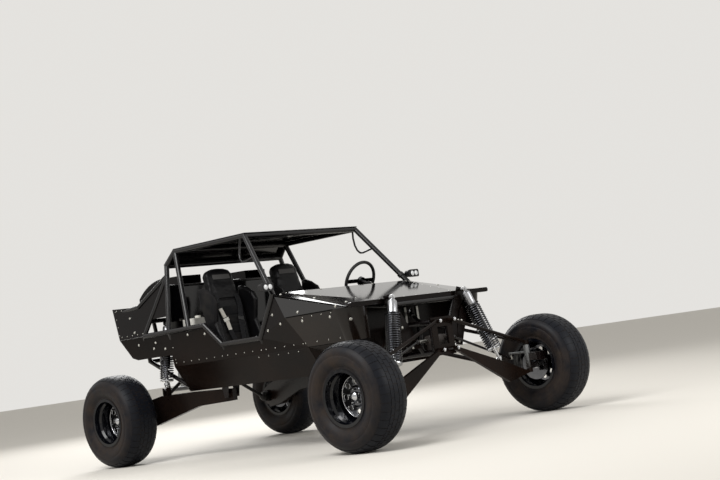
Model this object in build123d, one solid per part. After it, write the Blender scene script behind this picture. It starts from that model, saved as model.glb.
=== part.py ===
from build123d import *
import os
from math import cos, hypot, radians, sin

# A two-seat dune buggy with a tube frame, in millimetres. X runs forward, Y to the left, Z up.
# Places along X are measured forward from the rear axle. The finished solids are moved so that the
# origin lies on the ground midway between the axles.

# Wheels and axles
WHEELBASE = 3110
TRACK_FRONT = 2200
TRACK_REAR = 1990
TYRE_D = 800
TYRE_WIDTH = 320
RIM_LIP_D = 416
RIM_WIDTH = 265
RIM_DISH = 140
HOLE_COUNT = 8
HOLE_RING = 112
HOLE_R = 21
SPINDLE = 28
DISC_R = 130
AXLE_Z = TYRE_D / 2

# Heights and half widths of the body
FLOOR_Z = 570
FLOOR_HALF = 600
KNEE_Z = 800
KNEE_HALF = 740
SILL_Z = 926
RAIL_Z = 1105
RAIL_HALF = 775
COWL_Z = 1250
COWL_HALF = 785
CREASE_Z = 1050
CREASE_HALF = 806
DASH_Z = 1160
DECK_Z = 1372
TAIL_Z = DECK_Z + 26
ROOF_Z = 1800
DROP_Z = ROOF_Z - 120
WALL_TOP_Z = ROOF_Z - 295
ROOF_HALF = 645
LIP_HALF = 805
LIP_HIGH = 36
NOSE_TOP_Z = 1025
NOSE_TOP_HALF = 365
NOSE_LOW_Z = 618
NOSE_HALF = 95

# Places along X
TAIL_X = -285
RAIL_REAR_X = 233
REAR_WALL_X = 500
DROP_X = 540
A_FOOT_X = 592
ROOF_BREAK_X = 660
B_FOOT_X = 872
RAIL_BEND_X = 1086
SILL_REAR_X = 1269
ROOF_FRONT_X = 1605
SILL_FRONT_X = 1761
COWL_X = 2010
CREASE_X = 2138
KNEE_FRONT_X = 2290
BULKHEAD_X = 2600
LIP_X = 2865
NOSE_X = 2905
NOSE_FRONT_X = 3030

# Tubes, sheets and running clearances
TUBE = 22
BRACE = 19
LIGHT_TUBE = 15
LOOP_TUBE = 8.5
SHEET = 4
FIT = 0.3
SEAM = 0.2
RUN = 5

# Seats
SEAT_Y = 385
SEAT_X = 1080
SEAT_Z = 735
SEAT_LONG = 470
SEAT_LEAN = 12
SEAT_WAIST = 170
SEAT_SHOULDER = 198
SEAT_PAD = 44

# Steering
HAND_WHEEL_R = 165
HAND_WHEEL = (1830, 390, 1305)
COLUMN_JOINT = (2330, 390, 1073)
LOWER_JOINT = (2700, 40, 930)
RACK_X = 2950
RACK_Z = 715
RACK_HALF = 95
RACK_BAR = 12
RACK_BALL_Y = 212
TIE_ROD = 10
STEER_ARM = 172
STEER_ARM_Z = 470
ROD_EYE_HIGH = 22
ROD_STUD = 10

# Front suspension
KINGPIN_Y = 905
BALL_TOP_Z = 585
BALL_LOW_Z = 355
CUP_R = 25
CUP_HIGH = 34
UPPER_PIVOT_Z = 853
LOWER_PIVOT_Z = 628
PIVOT_Y = 82
REAR_PIVOT_Y = 196
PIN = 8
SLEEVE = 18
SLEEVE_LONG = 56
SHOCK_TOP = (2950, 420, 1082)
SHOCK_LOW = (3055, 630, 446)

# Rear suspension and drive
ARM_FRONT_X = 1010
ARM_FRONT_Y = 520
ARM_REAR_Y = TRACK_REAR / 2 - 210
ARM_PIVOT_Z = 500
ARM_THICK = 62
HUB_BACK = 52
REAR_SHOCK_LOW = (340, ARM_FRONT_Y + 0.657 * (ARM_REAR_Y - ARM_FRONT_Y), 612)
REAR_SHOCK_TOP = (345, 600, 1196)
AXIS_Z = 720
CRADLE_X = -290
CRADLE_HALF = 200
ENGINE_BACK_X = 95
ENGINE_FRONT_X = 468
ENGINE_HALF = 260
ENGINE_TOP_Z = 1180

# Springs
SPRING_R = 62
COILS = 8
SHOCK_BODY = 38
SHOCK_ROD = 14

# Lamps and towing eyes
LAMP = (62, 100, 56)
TOW_R = 13


def between(first, last, share):
    """The value part of the way from first to last."""
    return first + (last - first) * share


def flank(z):
    """Half width of the side between the knee and the side rail."""
    return between(KNEE_HALF, RAIL_HALF, (z - KNEE_Z) / (RAIL_Z - KNEE_Z))


def cage(z):
    """Half width of the cage, which leans in from the rail to the roof."""
    return between(RAIL_HALF, ROOF_HALF, (z - RAIL_Z) / (ROOF_Z - RAIL_Z))


def lower_rail_half(z):
    """Half width at height z where a rail lies against the inside of the leaning lower side."""
    run = hypot(KNEE_HALF - FLOOR_HALF, KNEE_Z - FLOOR_Z)
    out_y = (KNEE_Z - FLOOR_Z) / run
    out_z = (FLOOR_HALF - KNEE_HALF) / run
    return FLOOR_HALF - (TUBE + SHEET / 2 + FIT + out_z * (z - FLOOR_Z)) / out_y


def across(point):
    return (point[0], -point[1], point[2])


def mirrored(shape):
    return shape.mirror(Plane.XZ)


def both(shape):
    return [shape, mirrored(shape)]


def solid_of(shape):
    """The largest solid of a cut shape, without the crumbs that a cut leaves."""
    return max(shape.solids(), key=lambda piece: piece.volume)


def bar(a, b, radius):
    """A straight round bar from a to b."""
    axis = Vector(*b) - Vector(*a)
    return Solid.make_cylinder(radius, axis.length, Plane(origin=Vector(*a), z_dir=axis))


def block(low, high):
    """A box between two corners."""
    size = [high[i] - low[i] for i in range(3)]
    middle = [(high[i] + low[i]) / 2 for i in range(3)]
    return Pos(*middle) * Box(*size)


# Points of the frame on the left side
LOWER_Z = FLOOR_Z + SHEET / 2 + FIT + TUBE
LOWER_HALF = lower_rail_half(LOWER_Z)
BRACE_TOP_Z = DROP_Z - 80
BRACE_LOW_X = 130
REAR_LOW_X = 60
REAR_LOW_Z = 880
ROOF_FRONT = (ROOF_FRONT_X, ROOF_HALF, ROOF_Z - TUBE)
ROOF_BREAK = (ROOF_BREAK_X, cage(ROOF_Z - 10), ROOF_Z - 10)
DROP = (DROP_X, cage(DROP_Z), DROP_Z)
A_FOOT = (A_FOOT_X, RAIL_HALF, RAIL_Z)
B_FOOT = (B_FOOT_X, RAIL_HALF, RAIL_Z)
RAIL_REAR = (RAIL_REAR_X, RAIL_HALF, RAIL_Z)
RAIL_BEND = (RAIL_BEND_X, RAIL_HALF, RAIL_Z)
SILL_REAR = (SILL_REAR_X, flank(SILL_Z), SILL_Z)
SILL_FRONT = (SILL_FRONT_X, flank(SILL_Z), SILL_Z)
COWL = (COWL_X, COWL_HALF, COWL_Z)
BRACE_TOP_X = between(DROP_X, A_FOOT_X, (DROP_Z - BRACE_TOP_Z) / (DROP_Z - RAIL_Z))
BRACE_TOP = (BRACE_TOP_X, cage(BRACE_TOP_Z), BRACE_TOP_Z)
BRACE_LOW = (BRACE_LOW_X, cage(DECK_Z), DECK_Z)
LOWER_CORNER = (A_FOOT_X - 20, LOWER_HALF, LOWER_Z)
LOWER_REAR = (LOWER_CORNER[0] - TUBE, LOWER_HALF, LOWER_Z)
LOWER_FRONT = (KNEE_FRONT_X, LOWER_HALF, LOWER_Z)
REAR_LOW = (REAR_LOW_X, LOWER_HALF + 40, REAR_LOW_Z)
NOSE_LOW_REAR = (BULKHEAD_X + 60, NOSE_HALF + 35, NOSE_LOW_Z)
NOSE_LOW_FRONT = (NOSE_FRONT_X - TUBE, NOSE_HALF, NOSE_LOW_Z)
NOSE_UP_REAR = (BULKHEAD_X + 60, NOSE_HALF + 55, UPPER_PIVOT_Z)
NOSE_UP_FRONT = (NOSE_FRONT_X - TUBE, NOSE_HALF, UPPER_PIVOT_Z)
NOSE_TOP = (NOSE_X - 25, NOSE_TOP_HALF, NOSE_TOP_Z)
NOSE_FOOT = (NOSE_X, NOSE_HALF + 11, NOSE_LOW_Z)
DASH_END = (COWL_X + 25, COWL_HALF - 45, DASH_Z)
TAIL = (TAIL_X + 40, cage(DECK_Z) - 22, DECK_Z - BRACE - SHEET / 2 - FIT)
CRADLE_FRONT = (LOWER_CORNER[0], CRADLE_HALF + 50, LOWER_Z)
CRADLE_REAR = (CRADLE_X, CRADLE_HALF, LOWER_Z)
SHOCK_BAR_Z = REAR_SHOCK_TOP[2] + 30
SHOCK_BAR_X = between(RAIL_REAR_X, BRACE_TOP[0], (SHOCK_BAR_Z - RAIL_Z) / (BRACE_TOP_Z - RAIL_Z))
COLUMN_FOOT = (RACK_X - 10, LOWER_JOINT[1], RACK_Z + 34)
COLUMN = (Vector(*COLUMN_JOINT) - Vector(*HAND_WHEEL)).normalized()
RIM_FACE_Y = TRACK_FRONT / 2 + RIM_WIDTH / 2 - RIM_DISH
HUB_LOW = 32 - RIM_WIDTH / 2
DISC_LOW = 20 - RIM_WIDTH / 2
ARM_EYE = (WHEELBASE - STEER_ARM, KINGPIN_Y, STEER_ARM_Z)
NOSE_PLATE = 6
PLATE_X = NOSE_FRONT_X + NOSE_PLATE / 2 + FIT
PIVOT_X = NOSE_FRONT_X + NOSE_PLATE + 2 * FIT
REAR_PIVOT_X = BULKHEAD_X + 90


# Tubes with coped and mitred ends

class Tube:
    """A straight tube. A mitre is the plane through an end where a run of tubes turns a corner."""

    def __init__(self, a, b, radius):
        self.a, self.b, self.radius = a, b, radius
        self.axis = (Vector(*b) - Vector(*a)).normalized()
        self.mitres = []
        self.reach_a = self.reach_b = 0
        self.solid = None

    def shape(self, extra=0):
        start = Vector(*self.a) - self.axis * (self.reach_a + extra)
        end = Vector(*self.b) + self.axis * (self.reach_b + extra)
        return bar(start, end, self.radius + extra)

    def meets(self, other):
        gap = Line(self.a, self.b).distance(Line(other.a, other.b))
        return gap < self.radius + other.radius + 2


def mitre(first, second):
    """Lets two tubes that share a corner meet on the plane halfway between them."""
    turn = (first.axis + second.axis).normalized()
    spare = first.radius * 1.02 * first.axis.cross(second.axis).length / (1 + first.axis.dot(second.axis))
    first.reach_b = second.reach_a = spare
    corner = Vector(*first.b)
    first.mitres.append(Plane(origin=corner - turn * (FIT / 2), z_dir=-turn))
    second.mitres.append(Plane(origin=corner + turn * (FIT / 2), z_dir=turn))


frame = []


def run(points, radius=TUBE, copy=True):
    """Tubes along a row of points, and their mirror copies, coped to the tubes already in place."""
    made = []
    for side in ((-1, 1) if copy else (1,)):
        spots = [(x, y * side, z) for x, y, z in points]
        row = [Tube(a, b, radius) for a, b in zip(spots, spots[1:])]
        for first, second in zip(row, row[1:]):
            mitre(first, second)
        for i, new in enumerate(row):
            body = new.shape()
            for plane in new.mitres:
                body = split(body, bisect_by=plane, keep=Keep.TOP)
            for old in frame:
                if new.meets(old) and not (i and old is row[i - 1]):
                    body = body - old.shape(FIT)
            new.solid = solid_of(body)
            frame.append(new)
            made.append(new.solid)
    return made


def cross(x, half, z, radius=TUBE):
    """A straight tube from side to side."""
    return run([(x, -half, z), (x, half, z)], radius, copy=False)


def lower_frame():
    made = run([LOWER_REAR, LOWER_FRONT, NOSE_LOW_REAR, NOSE_LOW_FRONT])
    for x in (LOWER_CORNER[0], SEAT_X + 70, SEAT_X + SEAT_LONG - 30, LOWER_FRONT[0]):
        made += cross(x, LOWER_HALF, LOWER_Z)
    return made


def cabin_frame():
    made = run([RAIL_REAR, RAIL_BEND, SILL_REAR, SILL_FRONT, COWL, ROOF_FRONT, ROOF_BREAK, DROP, A_FOOT])
    made += run([ROOF_BREAK, B_FOOT])
    for x, half, z in (ROOF_FRONT, ROOF_BREAK, DROP):
        made += cross(x, half, z)
    made += cross(DASH_END[0], DASH_END[1] + 40, DASH_Z, BRACE)
    made += run([LOWER_CORNER, A_FOOT], BRACE)
    made += run([(SILL_REAR_X, LOWER_HALF, LOWER_Z), SILL_REAR], BRACE)
    made += run([(SILL_FRONT_X, LOWER_HALF, LOWER_Z), SILL_FRONT], BRACE)
    return made


def rear_frame():
    made = run([BRACE_TOP, BRACE_LOW, TAIL], BRACE)
    made += run([BRACE_TOP, RAIL_REAR, REAR_LOW, LOWER_CORNER], BRACE)
    made += cross(REAR_LOW_X, REAR_LOW[1], REAR_LOW_Z, BRACE)
    made += cross(TAIL[0], TAIL[1], TAIL[2], BRACE)
    made += cross(SHOCK_BAR_X, cage(SHOCK_BAR_Z), SHOCK_BAR_Z, BRACE)
    made += run([CRADLE_FRONT, CRADLE_REAR, (TAIL[0], CRADLE_HALF + 120, TAIL[2])], BRACE)
    made += cross(CRADLE_X, CRADLE_HALF, LOWER_Z, BRACE)
    return made


def nose_frame():
    made = run([NOSE_UP_REAR, NOSE_UP_FRONT], BRACE)
    made += run([NOSE_LOW_FRONT, NOSE_UP_FRONT], BRACE)
    made += run([NOSE_LOW_REAR, NOSE_UP_REAR], BRACE)
    made += cross(NOSE_TOP[0], NOSE_TOP_HALF, NOSE_TOP_Z, BRACE)
    made += run([NOSE_TOP, NOSE_FOOT], BRACE)
    share = 0.42
    tie = [between(NOSE_TOP[i], NOSE_FOOT[i], share) for i in range(3)]
    made += cross(tie[0], tie[1], tie[2], LIGHT_TUBE)
    made += run([DASH_END, (NOSE_TOP[0], NOSE_TOP_HALF, NOSE_TOP_Z - 8)], BRACE)
    for x, half, z in (NOSE_LOW_FRONT, NOSE_LOW_REAR, NOSE_UP_REAR):
        made += cross(x, half, z, BRACE)
    return made


def pillar_loops():
    """The small bent tubes in the corners between the pillars and the roof."""
    top = (ROOF_FRONT_X - 45, cage(ROOF_Z - TUBE) + 6, ROOF_Z - TUBE - 5)
    low = tuple(between(ROOF_FRONT[i], COWL[i], 0.36) for i in range(3))
    bends = [top]
    for x, drop in ((-58, 95), (-60, 160), (-47, 205), (-20, 232), (15, 236)):
        bends.append((ROOF_FRONT_X + x, cage(ROOF_Z - drop), ROOF_Z - drop))
    return run(bends + [low], LOOP_TUBE)


# Flat sheets

def plate(points, thick=SHEET):
    """A flat sheet with its middle on the plane of its first three points."""
    corners = [Vector(*p) for p in points]
    normal = (corners[1] - corners[0]).cross(corners[2] - corners[0]).normalized()
    flat = [p - normal * (p - corners[0]).dot(normal) for p in corners]
    outline = [p - normal * (thick / 2) for p in flat]
    return extrude(make_face(Polyline(*outline, close=True)), amount=thick, dir=normal)


def folded(*outlines):
    """One sheet folded along the edges that its flat parts share."""
    sheet = plate(outlines[0])
    for outline in outlines[1:]:
        sheet = sheet + plate(outline)
    return sheet


def clear_of_tubes(shape):
    """Cuts a sheet back from the tubes that it lies between."""
    box = shape.bounding_box()
    low, high = box.min, box.max
    for one in frame:
        grown = one.shape(FIT)
        other = grown.bounding_box()
        if (low.X < other.max.X and high.X > other.min.X and low.Y < other.max.Y
                and high.Y > other.min.Y and low.Z < other.max.Z and high.Z > other.min.Z):
            shape = shape - grown
    return solid_of(shape)


def side_panels():
    """The flat sides: behind the entry, under the sill, and ahead of the entry up to the cowl."""
    back_x = A_FOOT_X - 30

    def strip(low_x, high_x):
        return [(low_x, KNEE_HALF, KNEE_Z), (high_x, KNEE_HALF, KNEE_Z),
                (high_x, FLOOR_HALF, FLOOR_Z), (low_x, FLOOR_HALF, FLOOR_Z)]

    sill_z, sill_half = SILL_Z, flank(SILL_Z)
    rear_x, front_x = SILL_REAR_X - SEAM, SILL_FRONT_X + SEAM
    rear = folded(
        [(back_x, RAIL_HALF, RAIL_Z), RAIL_BEND, (rear_x, sill_half, sill_z),
         (rear_x, KNEE_HALF, KNEE_Z), (back_x, KNEE_HALF, KNEE_Z)],
        strip(back_x, rear_x))
    low_x, high_x = SILL_REAR_X + SEAM, SILL_FRONT_X - SEAM
    sill = folded(
        [(low_x, sill_half, sill_z), (high_x, sill_half, sill_z),
         (high_x, KNEE_HALF, KNEE_Z), (low_x, KNEE_HALF, KNEE_Z)],
        strip(low_x, high_x))
    crease = (CREASE_X - SEAM, CREASE_HALF - 3, CREASE_Z)
    knee = (KNEE_FRONT_X - SEAM, KNEE_HALF, KNEE_Z)
    corner = (front_x, sill_half, sill_z)
    front = folded(
        [corner, COWL, crease], [corner, crease, knee],
        [corner, knee, (front_x, KNEE_HALF, KNEE_Z)],
        strip(front_x, KNEE_FRONT_X - SEAM))
    made = []
    for sheet in (rear, sill, front):
        made += both(clear_of_tubes(sheet))
    return made


def quarter_panels():
    """The tall rear sides: flat pieces between the rail and the rear braces, and the strip below."""
    edge_x = -150
    back_x = A_FOOT_X - 30 - SEAM * 2
    low_z, ledge_z = 905, 929
    tail_top = (TAIL_X, cage(TAIL_Z), TAIL_Z)
    tail = plate([(edge_x, RAIL_HALF, RAIL_Z), RAIL_REAR, BRACE_TOP, BRACE_LOW, tail_top])
    window_z = SHOCK_BAR_Z + 15
    share = (BRACE_TOP_Z - window_z) / (BRACE_TOP_Z - RAIL_Z)
    rear_x = between(BRACE_TOP[0], RAIL_REAR_X, share)
    front_x = between(BRACE_TOP[0], A_FOOT_X, share)
    window = plate([(rear_x, cage(window_z), window_z), (front_x, cage(window_z), window_z), BRACE_TOP])
    top_z = RAIL_Z - 1
    corners = ((edge_x, top_z), (back_x, top_z), (back_x, low_z), (60, low_z), (-15, ledge_z))
    strip = plate([(x, flank(z), z) for x, z in corners])
    made = []
    for sheet in (tail, window, strip):
        made += both(clear_of_tubes(sheet))
    return made


def cowl_panels():
    """The flat triangle between the hood's edge and the side crease."""
    top = (COWL_X + 20, COWL_HALF + 2, COWL_Z - 22)
    rear = (CREASE_X, CREASE_HALF - 2, CREASE_Z + 2 * FIT)
    front = (LIP_X - 40, CREASE_HALF, CREASE_Z + 2 * FIT)
    return both(clear_of_tubes(plate([top, rear, front])))


def wing_panels():
    """The front sides under the crease, rolled inward ahead of the footwell."""
    bend_x, tip_x, tip_half = LIP_X - 170, LIP_X - 25, 600

    def band(z, half_rear, half_bend, rear_x):
        inward, back = Vector(0, -SHEET, 0), Vector(-SHEET, 0, 0)
        rear, bend = Vector(rear_x, half_rear, z), Vector(bend_x, half_bend, z)
        tip = Vector(tip_x, tip_half, z)
        middle = Vector(between(bend_x, tip_x, 0.82), between(tip_half, half_bend, 0.72), z)
        return make_face([
            Line(rear, bend), ThreePointArc(bend, middle, tip), Line(tip, tip + back),
            ThreePointArc(tip + back, middle + (inward + back) * 0.7, bend + inward),
            Line(bend + inward, rear + inward), Line(rear + inward, rear)])

    top = band(CREASE_Z - SEAM, CREASE_HALF, CREASE_HALF, CREASE_X + 3 * SEAM)
    low = band(KNEE_Z, KNEE_HALF + SHEET / 2, KNEE_HALF - 14, KNEE_FRONT_X + 3 * SEAM)
    return both(clear_of_tubes(loft([low, top], ruled=True)))


def footwell_panels():
    """The lower sides ahead of the cabin, leaning in to the front wall."""
    wall = BULKHEAD_X - SHEET / 2 - FIT
    top_z = KNEE_Z - SHEET / 2
    rear = KNEE_FRONT_X + SHEET
    knee = (rear, KNEE_HALF - 2, top_z)
    foot = (wall, 330, FLOOR_Z + 2)
    sheet = folded([(rear, FLOOR_HALF, FLOOR_Z), knee, foot], [knee, (wall, 650, top_z), foot])
    return both(clear_of_tubes(sheet))


def hood():
    """The hood: a flat middle, and two flat outer facets that droop to the cowl panels."""
    rear_x, front_x = COWL_X + 22, LIP_X - 17
    lip_z = NOSE_TOP_Z + BRACE + FIT + LIP_HIGH / 2
    rear_in = (rear_x + 10, COWL_HALF - 60, COWL_Z + 4)
    rear_out = (rear_x, COWL_HALF + 6, COWL_Z - 10)
    front_in = (front_x, 450, lip_z + 12)
    front_out = (front_x, CREASE_HALF + 4, lip_z - 8)
    middle = plate([rear_in, front_in, across(front_in), across(rear_in)])
    facet = folded([rear_in, rear_out, front_out], [rear_in, front_out, front_in])
    return [clear_of_tubes(middle + facet + mirrored(facet))]


def hood_lip():
    """The stiff bar along the hood's front edge, with rounded ends, on the top tube of the nose."""
    profile = Plane.YZ * SlotOverall(2 * LIP_HALF, LIP_HIGH)
    z = NOSE_TOP_Z + BRACE + FIT + LIP_HIGH / 2
    return [Pos(LIP_X - 15, 0, z) * extrude(profile, amount=30)]


def roof_panel():
    """The roof sheet, with its slanted drop behind the seats."""
    edge = 12
    rise = TUBE + SHEET / 2 + FIT
    front = (ROOF_FRONT_X + 18, ROOF_HALF + edge, ROOF_FRONT[2] + rise)
    back = (ROOF_BREAK_X - 8, ROOF_BREAK[1] + edge, ROOF_BREAK[2] + rise)
    tip = (DROP_X - 24, DROP[1] + edge, DROP_Z + 12)
    sheet = folded([front, back, across(back), across(front)], [back, tip, across(tip), across(back)])
    return [clear_of_tubes(sheet)]


def floor_pan():
    rear, half, wall = LOWER_REAR[0] - 10, FLOOR_HALF - 6, BULKHEAD_X - SHEET / 2 - FIT
    left = [(rear, half), (KNEE_FRONT_X, half), (wall, 318)]
    points = left + [(x, -y) for x, y in reversed(left)]
    return [clear_of_tubes(plate([(x, y, FLOOR_Z) for x, y in points]))]


def front_wall():
    """The wall ahead of the footwell, with two light upright stiffeners and a hole for the column."""
    side = [(326, FLOOR_Z + 2), (640, KNEE_Z - 6), (700, CREASE_Z - 26), (430, CREASE_Z + 50)]
    outline = side + [(-y, z) for y, z in reversed(side)]
    sheet = clear_of_tubes(plate([(BULKHEAD_X, y, z) for y, z in outline]))
    made = [solid_of(sheet - bar(COLUMN_JOINT, LOWER_JOINT, 22))]
    front = BULKHEAD_X + SHEET / 2 + FIT
    for y in (65, 205):
        made.append(block((front, y - 11, 868), (front + 12, y + 11, 1002)))
    return made


def dash():
    x = DASH_END[0] - BRACE - FIT - SHEET / 2
    top_half, top_z = COWL_HALF - 45, COWL_Z - 7
    low_half, low_z = COWL_HALF - 70, COWL_Z - 250
    sheet = plate([(x, -top_half, top_z), (x, top_half, top_z), (x, low_half, low_z), (x, -low_half, low_z)])
    return [clear_of_tubes(sheet - bar(HAND_WHEEL, COLUMN_JOINT, 27))]


def rear_wall():
    """The wall between the seats and the engine, with a rolled top edge."""
    top = WALL_TOP_Z
    top_half = cage(top) - 8
    side = [(LOWER_HALF - 20, FLOOR_Z + SHEET), (RAIL_HALF - 40, RAIL_Z - 60), (top_half, top)]
    outline = side + [(-y, z) for y, z in reversed(side)]
    sheet = plate([(REAR_WALL_X, y, z) for y, z in outline])
    roll = bar((REAR_WALL_X, -top_half, top), (REAR_WALL_X, top_half, top), 12)
    return [clear_of_tubes(sheet + roll)]


def deck():
    """The level sheet over the engine bay between the tall rear sides."""
    half = cage(DECK_Z + SHEET) - SHEET / 2 - FIT
    back, front = TAIL_X + 12, REAR_WALL_X - SHEET / 2 - FIT
    return [clear_of_tubes(plate([(x, y, DECK_Z) for x, y in ((back, -half), (back, half), (front, half),
                                                             (front, -half))]))]


def air_scoops():
    """Two scoops on the deck, open to the front, with tops that curve down to the tail."""
    inner, outer, top = 260, 505, 1600
    front, flat_x, tail_x, tail_z = REAR_WALL_X - 20, 230, -150, DECK_Z + 85
    foot = DECK_Z + SHEET / 2 + FIT

    def profile(wall, reach):
        back, nose, low = tail_x + wall, front + reach, foot - reach
        bend = (flat_x, 0, top - wall)
        end = (back, 0, tail_z)
        return make_face([
            Line((back, 0, low), (nose, 0, low)), Line((nose, 0, low), (nose, 0, top - 8 - wall)),
            Line((nose, 0, top - 8 - wall), bend), ThreePointArc(bend, (20, 0, top - 40 - wall), end),
            Line(end, (back, 0, low))])

    outside = extrude(profile(0, 0), amount=outer - inner, dir=(0, 1, 0))
    inside = extrude(profile(SHEET, 9), amount=outer - inner - 2 * SHEET, dir=(0, 1, 0))
    return both(solid_of(Pos(0, inner, 0) * outside - Pos(0, inner + SHEET, 0) * inside))


def coolant_tank():
    """The white tank beside the right seat, on a bracket from the rear wall."""
    size_x, size_y, size_z = 160, 190, 230
    body = fillet(Box(size_x, size_y, size_z).edges().filter_by(Axis.Z), 28)
    neck = Pos(0, 30, size_z / 2 + 11) * Cylinder(26, 24)
    middle_x = REAR_WALL_X + SHEET / 2 + 34 + size_x / 2
    middle_z = 1080
    tank = Pos(middle_x, -490, middle_z) * (body + neck)
    shelf_z = middle_z - size_z / 2 - FIT
    wall = REAR_WALL_X + SHEET / 2 + FIT
    shelf = block((wall, -580, shelf_z - 4), (middle_x + size_x / 2, -400, shelf_z))
    ledge = block((wall, -580, shelf_z - 60), (wall + 4, -400, shelf_z - 2))
    return [tank, solid_of(shelf + ledge)]


# Seats

def seat(side):
    """A high-backed bucket seat: back, cushion and four side pads, each a closed pad."""
    lean = radians(SEAT_LEAN)
    middle = side * SEAT_Y
    face = Plane(origin=(SEAT_X, middle, SEAT_Z), x_dir=(0, 1, 0), z_dir=(cos(lean), 0, sin(lean)))
    waist, shoulder, neck, top = SEAT_WAIST, SEAT_SHOULDER, 165, 880
    back = make_face([
        Line((-waist, 0), (waist, 0)), Line((waist, 0), (shoulder, 520)), Line((shoulder, 520), (neck, 700)),
        ThreePointArc((neck, 700), (0, top), (-neck, 700)),
        Line((-neck, 700), (-shoulder, 520)), Line((-shoulder, 520), (-waist, 0))])
    made = [solid_of(face.location * extrude(back, amount=-95))]
    cushion_y = waist - 4
    made.append(block((SEAT_X + FIT, middle - cushion_y, SEAT_Z - 55),
                      (SEAT_X + SEAT_LONG, middle + cushion_y, SEAT_Z + 30)))
    for edge in (-1, 1):
        out = shoulder + SEAT_PAD / 2 + FIT
        wing = Plane(origin=(SEAT_X, middle + edge * out, SEAT_Z), x_dir=(cos(lean), 0, sin(lean)),
                     z_dir=(0, -1, 0))
        pad = make_face(Polyline((-95, 110), (-95, 560), (-10, 620), (60, 470), (98, 260), (98, 110),
                                 close=True))
        made.append(solid_of(wing.location * extrude(pad, amount=SEAT_PAD / 2, both=True)))
        out = cushion_y + SEAT_PAD / 2 + FIT
        thigh = Plane(origin=(SEAT_X, middle + edge * out, SEAT_Z), x_dir=(1, 0, 0), z_dir=(0, -1, 0))
        pad = make_face(Polyline((10, -55), (465, -55), (465, 50), (390, 92), (10, 70), close=True))
        made.append(solid_of(thigh.location * extrude(pad, amount=SEAT_PAD / 2, both=True)))
    return made


def seat_rails():
    """Two angle rails under each seat, on the cross tubes of the floor."""
    made = []
    foot, top = LOWER_Z + TUBE + FIT, SEAT_Z - 55 - FIT
    back, front = SEAT_X + 30, SEAT_X + SEAT_LONG - 5
    for side in (-1, 1):
        for edge in (-1, 1):
            y = side * SEAT_Y + edge * (SEAT_WAIST - 10)
            upright = block((back, y - 3, foot), (front, y + 3, top))
            shelf = block((back, min(y, y + edge * 36), top - 5), (front, max(y, y + edge * 36), top))
            made.append(solid_of(upright + shelf))
    return made


# Steering


def steering_wheel():
    """A round rim on three flat spokes, with its boss square to the column."""
    wheel = Torus(HAND_WHEEL_R, 14) + Pos(0, 0, 14) * Cylinder(38, 28)
    for turn in (0, 180, 270):
        wheel = wheel + Rot(0, 0, turn) * Pos(HAND_WHEEL_R / 2 + 8, 0, 3) * Box(HAND_WHEEL_R - 20, 34, 6)
    place = Plane(origin=Vector(*HAND_WHEEL), x_dir=(0, 1, 0), z_dir=COLUMN)
    return [solid_of(place.location * wheel)]


def steering_column():
    """The column's two shafts, with a sleeve that hangs from the dash tube."""
    start = Vector(*HAND_WHEEL) + COLUMN * (28 + FIT)
    joint = Vector(*COLUMN_JOINT)
    sleeve = bar(Vector(*HAND_WHEEL) + COLUMN * 95, Vector(*HAND_WHEEL) + COLUMN * 330, 25)
    column = bar(start, joint, 15) + sleeve
    column = column + bar(joint, LOWER_JOINT, 12) + bar(LOWER_JOINT, COLUMN_FOOT, 12)
    for spot in (COLUMN_JOINT, LOWER_JOINT):
        column = column + Pos(*spot) * Sphere(22)
    drop = HAND_WHEEL[2] + (DASH_END[0] - HAND_WHEEL[0]) * COLUMN.Z / COLUMN.X
    x, y = DASH_END[0], HAND_WHEEL[1]
    hanger = block((x - 18, y - 14, DASH_Z), (x + 18, y + 14, drop))
    pinion = bar((RACK_X, -RACK_HALF, RACK_Z), (RACK_X, RACK_HALF, RACK_Z), 36 + FIT)
    return [clear_of_tubes(column + hanger - pinion)]


def rack_housing():
    """The rack's tube, on two feet on the nose frame."""
    body = bar((RACK_X, -RACK_HALF, RACK_Z), (RACK_X, RACK_HALF, RACK_Z), 36)
    for side in (-1, 1):
        y = side * (RACK_HALF - 20)
        body = body + block((RACK_X - 20, y - 14, NOSE_LOW_Z), (RACK_X + 20, y + 14, RACK_Z))
    bore = bar((RACK_X, -RACK_HALF - 1, RACK_Z), (RACK_X, RACK_HALF + 1, RACK_Z), RACK_BAR + FIT)
    return [clear_of_tubes(body - bore)]


def rack_and_tie_rods():
    """The sliding rack bar with both tie rods, whose ends lie under the steering arms."""
    made = bar((RACK_X, -RACK_BALL_Y, RACK_Z), (RACK_X, RACK_BALL_Y, RACK_Z), RACK_BAR)
    for side in (-1, 1):
        ball = (RACK_X, side * RACK_BALL_Y, RACK_Z)
        end = (ARM_EYE[0], side * ARM_EYE[1], ARM_EYE[2])
        low_end = (end[0], end[1], end[2] - 6)
        made = made + Pos(*ball) * Sphere(19) + bar(ball, low_end, TIE_ROD)
        made = made + Pos(*end) * Cylinder(16, ROD_EYE_HIGH)
        made = made + bar(end, (end[0], end[1], end[2] + ROD_EYE_HIGH / 2 + ROD_STUD), 9)
    return [solid_of(made)]


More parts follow.
